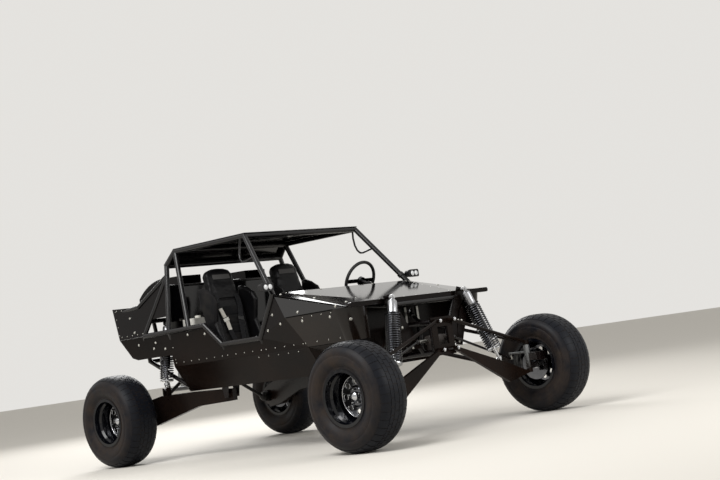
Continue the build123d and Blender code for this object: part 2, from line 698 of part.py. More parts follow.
def knuckle(side):
    """The upright between the two ball joints, with its spindle, steering arm and brake caliper."""
    x, y = WHEELBASE, KINGPIN_Y
    track = TRACK_FRONT / 2
    room = CUP_HIGH / 2 + RUN
    body = bar((x, y, BALL_LOW_Z + room), (x, y, BALL_TOP_Z - room), 26)
    body = body + bar((x, y, BALL_LOW_Z - 14), (x, y, BALL_TOP_Z + 14), PIN + 1)
    body = body + bar((x, y + CUP_R + RUN, AXLE_Z), (x, track + DISC_LOW - RUN, AXLE_Z), 33)
    body = body + bar((x, y, AXLE_Z), (x, RIM_FACE_Y - 18, AXLE_Z), SPINDLE)
    eye_z = ARM_EYE[2] + ROD_EYE_HIGH / 2 + ROD_STUD + FIT + 13
    eye = (ARM_EYE[0], y, eye_z)
    body = body + bar((x, y, eye_z), eye, 11) + Pos(*eye) * Cylinder(18, 26)
    inner, outer = y + 12, track + HUB_LOW + 22
    caliper = block((x + 66, inner, AXLE_Z + 30), (x + 118, outer, AXLE_Z + 98))
    slot = bar((x, track + DISC_LOW - RUN, AXLE_Z), (x, track + HUB_LOW + RUN, AXLE_Z), DISC_R + RUN)
    body = body + block((x - 10, y - 12, AXLE_Z + 36), (x + 100, y + 20, AXLE_Z + 92)) + (caliper - slot)
    body = solid_of(body)
    return [body if side > 0 else mirrored(body)]


# Wheels

def tyre():
    """A balloon tyre about the Y axis, with rounded shoulders."""
    r, w = TYRE_D / 2, TYRE_WIDTH / 2
    bead, seat_half = RIM_LIP_D / 2 - 16, RIM_WIDTH / 2 - 12
    foot = (RIM_LIP_D / 2 + 16, 0, seat_half + 8)
    right = [Line((bead, 0, seat_half), foot),
             ThreePointArc(foot, (r * 0.76, 0, w), (r - 36, 0, w - 16)),
             ThreePointArc((r - 36, 0, w - 16), (r - 11, 0, w - 42), (r, 0, w - 88))]
    left = [edge.mirror(Plane.XY) for edge in right]
    ends = [Line((bead, 0, -seat_half), (bead, 0, seat_half)), Line((r, 0, w - 88), (r, 0, 88 - w))]
    ring = revolve(make_face(right + left + ends), Axis.Z)
    return Rot(90, 0, 0) * ring


def rim():
    """A deep-dished wheel with a ring of round holes, its hub and its brake disc, outer face to +Z."""
    lip, half = RIM_LIP_D / 2, RIM_WIDTH / 2
    bed, well, wall = lip - 16 - FIT, lip - 30, 7
    face, bore = half - RIM_DISH, SPINDLE + FIT
    outline = Polyline(
        (33, 0, face + 36), (38, 0, face + 9), (64, 0, face + 9), (80, 0, face), (150, 0, face),
        (well - wall, 0, face - 22), (well - wall, 0, half - 64), (bed - wall, 0, half - 48),
        (bed - wall, 0, half),
        (lip, 0, half), (lip, 0, half - 8), (bed, 0, half - 11), (bed, 0, half - 44), (well, 0, half - 60),
        (well, 0, 46 - half), (bed, 0, 34 - half), (bed, 0, 11 - half), (lip, 0, 8 - half), (lip, 0, -half),
        (bed - wall, 0, -half), (bed - wall, 0, 28 - half), (well - wall, 0, 42 - half),
        (well - wall, 0, face - 34), (146, 0, face - 9), (50, 0, face - 9), (50, 0, HUB_LOW),
        (DISC_R, 0, HUB_LOW), (DISC_R, 0, DISC_LOW), (bore, 0, DISC_LOW), (bore, 0, face - 14),
        (0, 0, face - 14), (0, 0, face + 48))
    cap = ThreePointArc((0, 0, face + 48), (18, 0, face + 45), (33, 0, face + 36))
    wheel = revolve(make_face([outline, cap]), Axis.Z)
    for spot in PolarLocations(HOLE_RING, HOLE_COUNT):
        wheel = wheel - Pos(0, 0, face) * spot * Cylinder(HOLE_R, 60)
    return Rot(90, 0, 0) * solid_of(wheel)


def at_wheel(shape, x, track, side):
    """Puts a wheel piece, made with its outer face to -Y, on its axle end."""
    turned = shape if side < 0 else mirrored(shape)
    return [Pos(x, side * track / 2, AXLE_Z) * turned]


# Front suspension


def nose_plate():
    """The plate across the front of the nose, with the front pins of the arms."""
    low, high = NOSE_LOW_Z - 30, UPPER_PIVOT_Z + 32
    corners = ((-122, low), (122, low), (122, high), (-122, high))
    sheet = plate([(PLATE_X, y, z) for y, z in corners], NOSE_PLATE)
    sheet = sheet - block((PLATE_X - 9, -58, low + 84), (PLATE_X + 9, 58, high - 76))
    for z in (LOWER_PIVOT_Z, UPPER_PIVOT_Z):
        for side in (-1, 1):
            y = side * PIVOT_Y
            sheet = sheet + bar((PLATE_X, y, z), (PIVOT_X + SLEEVE_LONG + 8, y, z), PIN)
            end = PIVOT_X + SLEEVE_LONG
            sheet = sheet + bar((end + FIT, y, z), (end + 9, y, z), PIN + 6)
    return [solid_of(sheet)]


def arm_brackets():
    """The rear brackets of the arms: two ears and a pin beside the nose rails."""
    made = []
    for z, rail in ((LOWER_PIVOT_Z, NOSE_LOW_REAR), (UPPER_PIVOT_Z, NOSE_UP_REAR)):
        start, end = REAR_PIVOT_X - 8 - FIT, REAR_PIVOT_X + SLEEVE_LONG + 8 + FIT
        ears = block((start, rail[1], z - 17), (start + 8, REAR_PIVOT_Y + PIN + 3, z + 17))
        ears = ears + block((end - 8, rail[1], z - 17), (end, REAR_PIVOT_Y + PIN + 3, z + 17))
        ears = ears + bar((start, REAR_PIVOT_Y, z), (end, REAR_PIVOT_Y, z), PIN)
        cut = ears
        for one in frame:
            if one.solid is not None and one.meets(Tube((start, rail[1], z), (end, rail[1], z), 24)):
                cut = cut - one.shape(FIT)
        made += both(solid_of(cut))
    return made


def shock_towers():
    """A plate beside each leaning nose tube, with the top bolt of the shock."""
    offset = BRACE + NOSE_PLATE / 2 + FIT

    def lean_x(z):
        return between(NOSE_FOOT[0], NOSE_TOP[0], (z - NOSE_LOW_Z) / (NOSE_TOP_Z - NOSE_LOW_Z)) + offset

    foot_in, foot_out, foot_z = 140, 268, NOSE_LOW_Z + 46
    shock_y, shock_z = SHOCK_TOP[1:]
    outline = [(foot_out, foot_z), (shock_y - 48, shock_z - 152), (shock_y + 36, shock_z - 66),
               (shock_y + 36, shock_z + 16), (shock_y - 20, shock_z + 30), (shock_y - 90, shock_z - 82),
               (foot_in, foot_z)]
    sheet = plate([(lean_x(z), y, z) for y, z in outline], NOSE_PLATE)
    bolt = bar((lean_x(SHOCK_TOP[2]) - 2, SHOCK_TOP[1], SHOCK_TOP[2]),
               (SHOCK_TOP[0] + 24, SHOCK_TOP[1], SHOCK_TOP[2]), PIN)
    return both(clear_of_tubes(sheet + bolt))


def sleeve_at(x, y, z):
    return bar((x, y, z), (x + SLEEVE_LONG, y, z), SLEEVE)


def pin_holes(arm, z):
    """Bores an arm for its two pivot pins."""
    for x, y in ((PIVOT_X, PIVOT_Y), (REAR_PIVOT_X, REAR_PIVOT_Y)):
        arm = arm - bar((x - 9, y, z), (x + SLEEVE_LONG + 9, y, z), PIN + FIT)
    return arm


def cup(z):
    """The ball joint's cup at the outer end of an arm, and the bore for the knuckle's pin."""
    low, high = z - CUP_HIGH / 2, z + CUP_HIGH / 2
    spot = (WHEELBASE, KINGPIN_Y)
    return bar((*spot, low), (*spot, high), CUP_R), bar((*spot, low - 9), (*spot, high + 9), PIN + 1 + FIT)


def upper_arms():
    """The upper arms: two tubes each, from the ball joint to the nose."""
    outer = (WHEELBASE, KINGPIN_Y, BALL_TOP_Z)
    half = SLEEVE_LONG / 2
    shell, bore = cup(BALL_TOP_Z)
    arm = shell + sleeve_at(PIVOT_X, PIVOT_Y, UPPER_PIVOT_Z)
    arm = arm + sleeve_at(REAR_PIVOT_X, REAR_PIVOT_Y, UPPER_PIVOT_Z)
    arm = arm + bar(outer, (PIVOT_X + half, PIVOT_Y, UPPER_PIVOT_Z), LIGHT_TUBE - 1)
    arm = arm + bar(outer, (REAR_PIVOT_X + half, REAR_PIVOT_Y, UPPER_PIVOT_Z), LIGHT_TUBE - 1)
    return both(solid_of(pin_holes(arm - bore, UPPER_PIVOT_Z)))


def lower_arms():
    """The lower arms: a deep boxed front leg and a round rear leg, with the shock's lower bolt."""
    half = SLEEVE_LONG / 2
    front_x = PIVOT_X + half

    def leg_x(y):
        return between(front_x, WHEELBASE, (y - PIVOT_Y) / (KINGPIN_Y - PIVOT_Y))

    outline = [(70, LOWER_PIVOT_Z + 18), (600, 462), (850, 362), (896, 362), (896, 340), (640, 292),
               (130, 588), (70, LOWER_PIVOT_Z - 18)]
    arm = plate([(leg_x(y), y, z) for y, z in outline], 32)
    shell, bore = cup(BALL_LOW_Z)
    arm = arm + shell + sleeve_at(PIVOT_X, PIVOT_Y, LOWER_PIVOT_Z)
    arm = arm + sleeve_at(REAR_PIVOT_X, REAR_PIVOT_Y, LOWER_PIVOT_Z)
    rear_foot = (REAR_PIVOT_X + half, REAR_PIVOT_Y, LOWER_PIVOT_Z)
    arm = arm + bar((leg_x(860), 860, 350), rear_foot, LIGHT_TUBE + 1)
    arm = arm + plate([(leg_x(850), 850, 354), (leg_x(690), 690, 410), (leg_x(690) - 96, 690, 414)], 8)
    x, y, z = SHOCK_LOW
    arm = arm + bar((x - 22, y, z), (leg_x(y), y, z), PIN)
    return both(solid_of(pin_holes(arm - bore, LOWER_PIVOT_Z)))


def coilover(low, top, body_long):
    """A shock absorber with a coil spring around it, on eyes that turn about X."""
    start, end = Vector(*low), Vector(*top)
    long = (end - start).length
    spring_low, spring_high = 150, long - 34 - body_long
    pitch = (spring_high - spring_low) / COILS
    inner, outer = SPRING_R - 13, SPRING_R
    points = [(0, 0, 0), (SHOCK_ROD, 0, 0), (SHOCK_ROD, 0, spring_low - 10), (inner, 0, spring_low - 10),
              (inner, 0, spring_low)]
    for coil in range(COILS):
        foot = spring_low + coil * pitch
        points += [(outer, 0, foot + pitch * 0.5), (inner, 0, foot + pitch)]
    points += [(SHOCK_BODY, 0, spring_high), (SHOCK_BODY, 0, long - 30), (16, 0, long - 22), (16, 0, long),
               (0, 0, long)]
    body = revolve(make_face(Polyline(*points, close=True)), Axis.Z)
    body = Plane(origin=start, z_dir=end - start).location * body
    for x, y, z in (low, top):
        body = body + bar((x - 17, y, z), (x + 17, y, z), 20)
        body = body - bar((x - 40, y, z), (x + 40, y, z), PIN + FIT)
    return solid_of(body)


def front_coilovers():
    return both(coilover(SHOCK_LOW, SHOCK_TOP, 112))


# Rear suspension and drive

def arm_y(x):
    """Half width of the trailing arm's middle at x."""
    return between(ARM_FRONT_Y, ARM_REAR_Y, (ARM_FRONT_X - x) / ARM_FRONT_X)


def trailing_arms():
    """The boxed trailing arms, with the pivot tube in front and the wheel's bearing at the rear."""
    outline = [(1042, 548), (640, 562), (300, 563), (60, 515), (-70, 468), (-70, 332), (40, 292), (210, 310),
               (680, 434), (1042, 446)]
    arm = plate([(x, arm_y(x), z) for x, z in outline], ARM_THICK)
    x, y, z = ARM_FRONT_X, ARM_FRONT_Y, ARM_PIVOT_Z
    arm = arm + bar((x, y - 55, z), (x, y + 55, z), 27)
    arm = arm + bar((0, ARM_REAR_Y - HUB_BACK, AXLE_Z), (0, ARM_REAR_Y + 52, AXLE_Z), 54)
    spindle_end = TRACK_REAR / 2 + RIM_WIDTH / 2 - RIM_DISH - 18
    arm = arm + bar((0, ARM_REAR_Y, AXLE_Z), (0, spindle_end, AXLE_Z), SPINDLE)
    pin = bar((x, y - 99, z), (x, y + 99, z), 10 + FIT)
    x, y, z = REAR_SHOCK_LOW
    ears = block((x - 34, y - 22, z - 60), (x - 18, y + 22, z + 14))
    ears = ears + block((x + 18, y - 22, z - 60), (x + 34, y + 22, z + 14))
    arm = arm + ears + bar((x - 34, y, z), (x + 34, y, z), PIN)
    return both(solid_of(arm - pin))


def arm_hangers():
    """The ears under the floor that hold the front pins of the trailing arms."""
    top = FLOOR_Z - SHEET / 2 - FIT
    x = ARM_FRONT_X
    near, far = ARM_FRONT_Y - 55 - 9, ARM_FRONT_Y + 55 + FIT
    ears = bar((x, near, ARM_PIVOT_Z), (x, far + 8, ARM_PIVOT_Z), 10)
    for y in (near, far):
        ears = ears + plate([(x - 42, y + 4, top), (x + 42, y + 4, top), (x + 22, y + 4, ARM_PIVOT_Z - 24),
                             (x - 22, y + 4, ARM_PIVOT_Z - 24)], 8)
    return both(solid_of(ears))


def rear_coilovers():
    return both(coilover(REAR_SHOCK_LOW, REAR_SHOCK_TOP, 60))


def shock_hangers():
    """The tabs that hold the tops of the rear shocks to their cross tube."""
    x, y, z = REAR_SHOCK_TOP
    tabs = block((x - 30, y - 20, z - 18), (x - 18 - FIT, y + 20, SHOCK_BAR_Z + 10))
    tabs = tabs + bar((x - 30, y, z), (x + 24, y, z), PIN)
    return both(clear_of_tubes(tabs))


def half_shafts():
    """The drive shafts, each between an inner and an outer joint."""
    inner = (0, 172, AXIS_Z - 30)
    outer = (0, ARM_REAR_Y - HUB_BACK - FIT, AXLE_Z)
    inner_end = (0, inner[1] + 52, inner[2])
    outer_end = (0, outer[1] - 52, outer[2])
    shaft = bar(inner, inner_end, 46) + bar(outer_end, outer, 46) + bar(inner_end, outer_end, 16)
    shaft = shaft + Pos(*inner_end) * Sphere(34) + Pos(*outer_end) * Sphere(34)
    return both(solid_of(shaft))


def transaxle():
    """The gearbox behind the engine, with its bell, its case and the outputs of the axle."""
    front = ENGINE_BACK_X - FIT
    points = [(0, 0, front), (150, 0, front), (150, 0, front - 22), (104, 0, front - 130), (96, 0, -210),
              (84, 0, -262), (84, 0, -282), (0, 0, -282)]
    case = revolve(make_face(Polyline(*points, close=True)), Axis.Z)
    case = Pos(0, 0, AXIS_Z) * Rot(0, 90, 0) * case
    output = AXIS_Z - 30
    case = case + bar((0, -172 + FIT, output), (0, 172 - FIT, output), 62)
    foot = LOWER_Z + BRACE + FIT
    case = case + block((-276, -60, LOWER_Z - 10), (-216, 60, AXIS_Z))
    case = case + block((CRADLE_X - 16, -50, foot), (-230, 50, AXIS_Z - 40))
    return [clear_of_tubes(case)]


def engine():
    """The engine: one plain block on the cradle, between the rear wall and the gearbox."""
    foot = LOWER_Z + BRACE + FIT
    return [block((ENGINE_BACK_X, -ENGINE_HALF, foot), (ENGINE_FRONT_X, ENGINE_HALF, ENGINE_TOP_Z))]


# Lamps and towing eyes

def lamps():
    """A twin lamp clamped to the foot of each windscreen pillar."""
    share = (1312 - COWL_Z) / (ROOF_FRONT[2] - COWL_Z)
    spot = [between(COWL[i], ROOF_FRONT[i], share) for i in range(3)]
    axis = (Vector(*ROOF_FRONT) - Vector(*COWL)).normalized()
    ring = bar(Vector(*spot) - axis * 14, Vector(*spot) + axis * 14, TUBE + 7)
    near, deep, wide, high = spot[1] + TUBE + 12, LAMP[0], LAMP[1], LAMP[2]
    front_x = spot[0] + 78
    body = block((front_x - deep, near, spot[2] - high / 2), (front_x, near + wide, spot[2] + high / 2))
    body = chamfer(body.edges().filter_by(Axis.X), 12)
    arm = block((spot[0] - 8, spot[1], spot[2] - 9), (spot[0] + 34, near + 30, spot[2] + 9))
    lamp = body + arm + ring
    for share in (0.27, 0.73):
        y = near + wide * share
        lamp = lamp + bar((front_x - 2, y, spot[2]), (front_x + 5, y, spot[2]), 19)
    return both(clear_of_tubes(lamp))


def tow_eyes():
    """Level towing eyes at the nose and the tail."""
    front_x = PLATE_X + NOSE_PLATE / 2 + FIT
    front = block((front_x, -30, NOSE_LOW_Z + 4), (front_x + 42, 30, NOSE_LOW_Z + 16))
    front = front + bar((front_x + 42, 0, NOSE_LOW_Z + 4), (front_x + 42, 0, NOSE_LOW_Z + 16), 30)
    front = front - bar((front_x + 42, 0, NOSE_LOW_Z), (front_x + 42, 0, NOSE_LOW_Z + 20), TOW_R)
    rear_x = CRADLE_X - BRACE - 40
    rear = block((rear_x, -30, LOWER_Z - 6), (CRADLE_X, 30, LOWER_Z + 6))
    rear = rear + bar((rear_x, 0, LOWER_Z - 6), (rear_x, 0, LOWER_Z + 6), 30)
    rear = rear - bar((rear_x, 0, LOWER_Z - 9), (rear_x, 0, LOWER_Z + 9), TOW_R)
    return [solid_of(front), clear_of_tubes(rear)]


def build():
    """Every node with its solids. The frame comes first, because the sheets are cut to its tubes."""
    nodes = {
        "lower_frame": lower_frame(),
        "cabin_frame": cabin_frame(),
        "rear_frame": rear_frame(),
        "nose_frame": nose_frame(),
    }
    loops = pillar_loops()
    nodes.update({
        "pillar_loops": loops,
        "side_panels": side_panels(),
        "quarter_panels": quarter_panels(),
        "cowl_panels": cowl_panels(),
        "wing_panels": wing_panels(),
        "footwell_panels": footwell_panels(),
        "hood": hood() + hood_lip(),
        "roof_panel": roof_panel(),
        "floor_pan": floor_pan(),
        "front_wall": front_wall(),
        "dash": dash(),
        "rear_wall": rear_wall(),
        "deck": deck(),
        "air_scoops": air_scoops(),
        "coolant_tank": coolant_tank(),
        "seats": seat(-1) + seat(1),
        "seat_rails": seat_rails(),
        "steering_wheel": steering_wheel(),
        "steering_column": steering_column(),
        "rack_housing": rack_housing(),
        "rack_and_tie_rods": rack_and_tie_rods(),
        "knuckle_right": knuckle(-1),
        "knuckle_left": knuckle(1),
        "nose_brackets": nose_plate() + arm_brackets() + shock_towers(),
        "front_arms": upper_arms() + lower_arms(),
        "trailing_arms": trailing_arms(),
        "rear_hangers": arm_hangers() + shock_hangers(),
        "coilovers": front_coilovers() + rear_coilovers(),
        "half_shafts": half_shafts(),
        "transaxle": transaxle(),
        "engine": engine(),
        "lamps": lamps(),
        "tow_eyes": tow_eyes(),
    })
    round_tyre, round_rim = tyre(), rim()
    for name, x, track, side in (
            ("front_right", WHEELBASE, TRACK_FRONT, -1), ("front_left", WHEELBASE, TRACK_FRONT, 1),
            ("rear_right", 0, TRACK_REAR, -1), ("rear_left", 0, TRACK_REAR, 1)):
        nodes["tyre_" + name] = at_wheel(round_tyre, x, track, side)
        nodes["rim_" + name] = at_wheel(round_rim, x, track, side)
    return nodes


os.makedirs("parts", exist_ok=True)
to_middle = Location((-WHEELBASE / 2, 0, 0))
for name, solids in build().items():
    export_step(Compound(children=[to_middle * solid for solid in solids]), f"parts/{name}.step")
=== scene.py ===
# %% [markdown]
# # A dune buggy
# This car is made for sand: a cage of black steel tubes with flat black sheets between them, an open nose
# with long arms, and wide balloon tyres. The frame that is loaded first holds every rigid piece at its real
# place, in metres: X runs forward, Y to the car's left and Z up. What is left for this lesson is the look:
# the finish of each surface, and the pieces that need finer shapes, such as tread, springs and seats.

# %% Load the frame
import math

import bmesh
import bpy
from mathutils import Matrix, Vector, noise


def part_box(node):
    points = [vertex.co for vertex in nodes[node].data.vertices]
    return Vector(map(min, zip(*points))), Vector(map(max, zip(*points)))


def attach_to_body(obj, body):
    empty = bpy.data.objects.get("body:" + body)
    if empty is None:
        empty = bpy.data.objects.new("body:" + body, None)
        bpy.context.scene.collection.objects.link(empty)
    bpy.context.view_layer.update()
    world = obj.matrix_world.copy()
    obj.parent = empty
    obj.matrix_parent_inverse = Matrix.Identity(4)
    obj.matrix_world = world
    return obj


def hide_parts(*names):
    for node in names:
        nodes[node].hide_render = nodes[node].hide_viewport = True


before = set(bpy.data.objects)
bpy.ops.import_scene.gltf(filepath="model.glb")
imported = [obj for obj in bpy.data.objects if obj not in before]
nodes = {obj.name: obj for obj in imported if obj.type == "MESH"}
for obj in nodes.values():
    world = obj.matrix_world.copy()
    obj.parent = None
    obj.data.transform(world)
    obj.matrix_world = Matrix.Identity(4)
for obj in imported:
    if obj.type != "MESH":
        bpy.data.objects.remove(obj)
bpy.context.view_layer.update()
AXLE_X, AXLE_Z = 1.555, 0.400
print(len(nodes), "nodes of the frame loaded")

# %% [markdown]
# ## Colours and nodes
# Colours are easiest to choose as the hex values that a screen shows. Blender's shaders count light linearly,
# so one function turns the first into the second. A second small function adds any shader node, sets it and
# links it, which keeps each material short enough to read in one go.

# %% Helpers for materials
def tone(code):
    """A linear colour from an sRGB hex value such as #1a1a1a."""
    steps = [int(code[i:i + 2], 16) / 255 for i in (1, 3, 5)]
    return tuple(c / 12.92 if c <= 0.04045 else ((c + 0.055) / 1.055) ** 2.4 for c in steps) + (1,)


def add(tree, kind, links=None, **settings):
    """Adds a shader node. A link's value is a node (its first output), an output, a number or a colour."""
    node = tree.nodes.new("ShaderNode" + kind)
    for key, value in settings.items():
        setattr(node, key, value)
    for socket, value in (links or {}).items():
        if isinstance(value, bpy.types.Node):
            value = value.outputs[0]
        if isinstance(value, bpy.types.NodeSocket):
            tree.links.new(value, node.inputs[socket])
        else:
            node.inputs[socket].default_value = value
    return node


def material(name):
    """An empty material, with the node tree that its maker fills."""
    made = bpy.data.materials.new(name)
    made.use_nodes = True
    made.node_tree.nodes.clear()
    return made, made.node_tree


def finish_surface(tree, links):
    """Closes a tree with the usual surface shader, given its inputs."""
    surface = add(tree, "BsdfPrincipled", links)
    add(tree, "OutputMaterial", {"Surface": surface})


def wear(piece, made):
    """Gives a piece one material all over."""
    piece.data.materials.clear()
    piece.data.materials.append(made)


# %% [markdown]
# ## Dust and painted sand reflection
# A sand car is never clean. Fine sand lies thickest near the ground and thins out towards the roof, in soft
# uneven clouds. The same sand-coloured fade is also a painted reflection of the sand and the dust cloud round
# the car, which the lower sheets mirror. So the share is a fade along the height, broken up by a large noise
# and a small one. The colour of the dust is the dull orange of dry desert sand.

# %% Dust and painted sand reflection by height
SAND = "#8a5f40"
DUST_AND_REFLECTION_LOW, DUST_AND_REFLECTION_HIGH = 0.35, 1.25
CLOUD_SCALE, SPECK_SCALE = 2.2, 60


def dust_and_sand_reflection(tree, most):
    """The share of dust and painted sand reflection over a surface: most at the ground, an eighth of it at
    DUST_AND_REFLECTION_HIGH and above.
    """
    place = add(tree, "TexCoord").outputs["Object"]
    height = add(tree, "SeparateXYZ", {0: place}).outputs["Z"]
    fade = add(tree, "MapRange", {0: height, 1: DUST_AND_REFLECTION_LOW, 2: DUST_AND_REFLECTION_HIGH, 3: 1.0, 4: 0.12})
    clouds = add(tree, "TexNoise", {"Vector": place, "Scale": CLOUD_SCALE, "Detail": 5, "Roughness": 0.6})
    specks = add(tree, "TexNoise", {"Vector": place, "Scale": SPECK_SCALE, "Detail": 2})
    broken = add(tree, "MapRange", {0: clouds, 1: 0.36, 2: 0.72, 3: 0.25, 4: 1.0})
    fine = add(tree, "MapRange", {0: specks, 1: 0.3, 2: 0.7, 3: 0.6, 4: 1.0})
    both = add(tree, "Math", {0: broken, 1: fine}, operation="MULTIPLY")
    share = add(tree, "Math", {0: both, 1: fade}, operation="MULTIPLY")
    return add(tree, "Math", {0: share, 1: most}, operation="MULTIPLY")


# %% [markdown]
# ## Paint on tubes and sheets
# The tubes are powder coated: the baked skin is satin and has a faint orange peel, about 2 mm across. The
# sheets are aluminium with gloss paint, flat enough to mirror all that is round them, which is what makes the
# hood look pale. The slanted cowl sheets are the cleanest and mirror more strongly than the other sheets: a
# lit copy of the paint, a painted reflection of the sky. The flanks below them are the dustiest and mirror
# the
# least: a shaded copy, darker and browner, which is dust and also painted shade and a painted reflection of
# sand. All get the layer of dust and painted sand reflection, which is rough and so kills the shine where it
# lies. Mouldings further on are made the same way.

# %% Painted metal
def coated(name, colour, rough, grain_mm, height, dusty, mirror=0.4, detail=3, dusty_rough=0.9):
    """A skin with a grain of grain_mm under dust and painted sand reflection. rough holds where it is clean,
    mirror is its reflection.
    """
    made, tree = material(name)
    place = add(tree, "TexCoord").outputs["Object"]
    share = dust_and_sand_reflection(tree, dusty)
    skin = add(tree, "Mix", {0: share, 6: tone(colour), 7: tone(SAND)}, data_type="RGBA").outputs[2]
    dull = add(tree, "Mix", {0: share, 2: rough, 3: dusty_rough})
    grain = add(tree, "TexNoise", {"Vector": place, "Scale": 1000 / grain_mm, "Detail": detail})
    bump = add(tree, "Bump", {"Height": grain, "Strength": height, "Distance": 0.0004})
    finish_surface(tree, {"Base Color": skin, "Roughness": dull, "Normal": bump,
                          "Specular IOR Level": mirror})
    return made


def painted(*values):
    """Paint: its waves are smooth, and dust on it is a little less rough."""
    return coated(*values, detail=1, dusty_rough=0.85)


POWDER_COAT = painted("black_powder_coated_steel", "#07070a", 0.26, 3.0, 0.2, 0.04, 0.42)
GLOSS_SHEET = painted("black_gloss_paint_on_aluminium", "#070709", 0.08, 9.0, 0.04, 0.03, 0.50)
# The cowl lacquer mirrors more than the gloss paint, a lit copy that is a painted reflection of the sky. The
# flank paint mirrors less and holds more dust, a shaded copy that is painted shade and painted sand
# reflection.
COWL_SHEET = painted("black_lacquer_on_aluminium", "#0a0a0c", 0.12, 9.0, 0.04, 0.03, 0.72)
FLANK_SHEET = painted("dusty_black_gloss_paint_on_aluminium", "#0a0807", 0.14, 9.0, 0.05, 0.07, 0.28)
SATIN_SHEET = painted("black_satin_paint_on_aluminium", "#0a0808", 0.22, 4.0, 0.12, 0.05, 0.11)

# %% [markdown]
# ## Bare and plated metal
# A metal is a mirror with a colour, so its look comes from how its surface was worked. The gearbox and the
# engine are cast and have a grainy skin. Shock rods are turned and polished, and the bodies above them are
# satin anodised. The springs are black and glossy, so that each coil shows one bright line.

# %% Metals
def metal(name, colour, rough, grain_mm, height):
    """Metal with a grain of a given size and height."""
    made, tree = material(name)
    place = add(tree, "TexCoord").outputs["Object"]
    grain = add(tree, "TexNoise", {"Vector": place, "Scale": 1000 / grain_mm, "Detail": 4})
    uneven = add(tree, "MapRange", {0: grain, 1: 0.3, 2: 0.7, 3: rough * 0.75, 4: rough * 1.3})
    bump = add(tree, "Bump", {"Height": grain, "Strength": height, "Distance": 0.0005})
    finish_surface(tree, {"Base Color": tone(colour), "Metallic": 1.0, "Roughness": uneven, "Normal": bump})
    return made


POLISHED = metal("turned_and_polished_aluminium", "#c9cacc", 0.18, 40, 0.02)
DARK_CHROME = metal("dark_chrome_on_steel", "#5c5d60", 0.16, 60, 0.02)
CAST_ALLOY = metal("sand_cast_aluminium", "#8d8f90", 0.48, 2.5, 0.5)
ZINC_STEEL = metal("zinc_plated_steel", "#b4b3ad", 0.30, 8, 0.08)
DARK_CAST = metal("dark_cast_iron", "#3c3b3a", 0.55, 2.0, 0.5)
SATIN_ALLOY = metal("satin_anodised_aluminium", "#a5a6a9", 0.30, 60, 0.02)
SPRING_STEEL = metal("black_oxide_on_spring_steel", "#4e4f53", 0.17, 20, 0.02)
BLACK_ENAMEL = painted("gloss_black_enamel", "#06070a", 0.10, 20.0, 0.02, 0.02, 0.40)

# %% [markdown]
# ## Rubber and plastic
# Rubber is a dark grey that is rough and never quite black, because carbon black scatters a little light and
# dust sits in it. The tank is white polyethylene, smooth from its mould.

# %% Rubber and plastics
GRIP_RUBBER = coated("grip_rubber", "#121213", 0.6, 1.2, 0.5, 0.05)
# Black bead in the crease: a joint, and also a painted shadow under the upper sheet's edge.
BLACK_JOINT_AND_SHADOW = coated("black_joint_rubber", "#050505", 0.85, 1.2, 0.2, 0.02, mirror=0.05)
BELLOWS = coated("dusty_rubber_bellows", "#3a3939", 0.6, 1.2, 0.4, 0.15)
WHITE_TANK = coated("white_moulded_polyethylene", "#e4e2da", 0.35, 6, 0.1, 0.10)
LAMP_SHELL = coated("black_die_cast_shell", "#101012", 0.38, 1.5, 0.3, 0.05)

# %% [markdown]
# The tyre and the wheel turn, so their patterns follow the wheel itself, not the ground. A mask reads how far
# a point lies from the axle: the barrel of the wheel is gloss black with a faint blue tint, a painted
# reflection of the sky, its middle dark chrome, and the cap of its hub bright. The tyre's rubber has the same
# blue tint, a painted reflection of the sky. Dust stays in its grooves and on its side wall, where the brown
# is dust and also a painted reflection of sand.

# %% Wheel paint and tyre rubber
MIDDLE_R, CAP_R = 0.1515, 0.0385


def axle_distance(tree):
    """The distance of a point from the axle of its own wheel, in metres, the same for all four wheels."""
    spot = add(tree, "SeparateXYZ", {0: add(tree, "TexCoord").outputs["Object"]})
    ahead = add(tree, "Math", {0: spot.outputs["X"]}, operation="ABSOLUTE")
    ahead = add(tree, "Math", {0: ahead, 1: AXLE_X}, operation="SUBTRACT")
    above = add(tree, "Math", {0: spot.outputs["Z"], 1: AXLE_Z}, operation="SUBTRACT")
    flat = add(tree, "CombineXYZ", {0: ahead, 1: above})
    return add(tree, "VectorMath", {0: flat}, operation="LENGTH").outputs["Value"]


def wheel_paint():
    made, tree = material("gloss_black_wheel_with_dark_chrome_middle")
    reach = axle_distance(tree)
    barrel = add(tree, "Math", {0: reach, 1: MIDDLE_R}, operation="GREATER_THAN")
    cap = add(tree, "Math", {0: reach, 1: CAP_R}, operation="LESS_THAN")
    # The barrel's faint blue tint is a painted reflection of the sky.
    skin = add(tree, "Mix", {0: barrel, 6: tone("#66676b"), 7: tone("#08090e")}, data_type="RGBA").outputs[2]
    skin = add(tree, "Mix", {0: cap, 6: skin, 7: tone("#b9babd")}, data_type="RGBA").outputs[2]
    shine = add(tree, "Mix", {0: barrel, 2: 1.0, 3: 0.0})
    place = add(tree, "TexCoord").outputs["Object"]
    film = add(tree, "TexNoise", {"Vector": place, "Scale": 30.0, "Detail": 4})
    dull = add(tree, "MapRange", {0: film, 1: 0.4, 2: 0.75, 3: 0.08, 4: 0.24})
    finish_surface(tree, {"Base Color": skin, "Metallic": shine, "Roughness": dull,
                          "Specular IOR Level": 0.35})
    return made


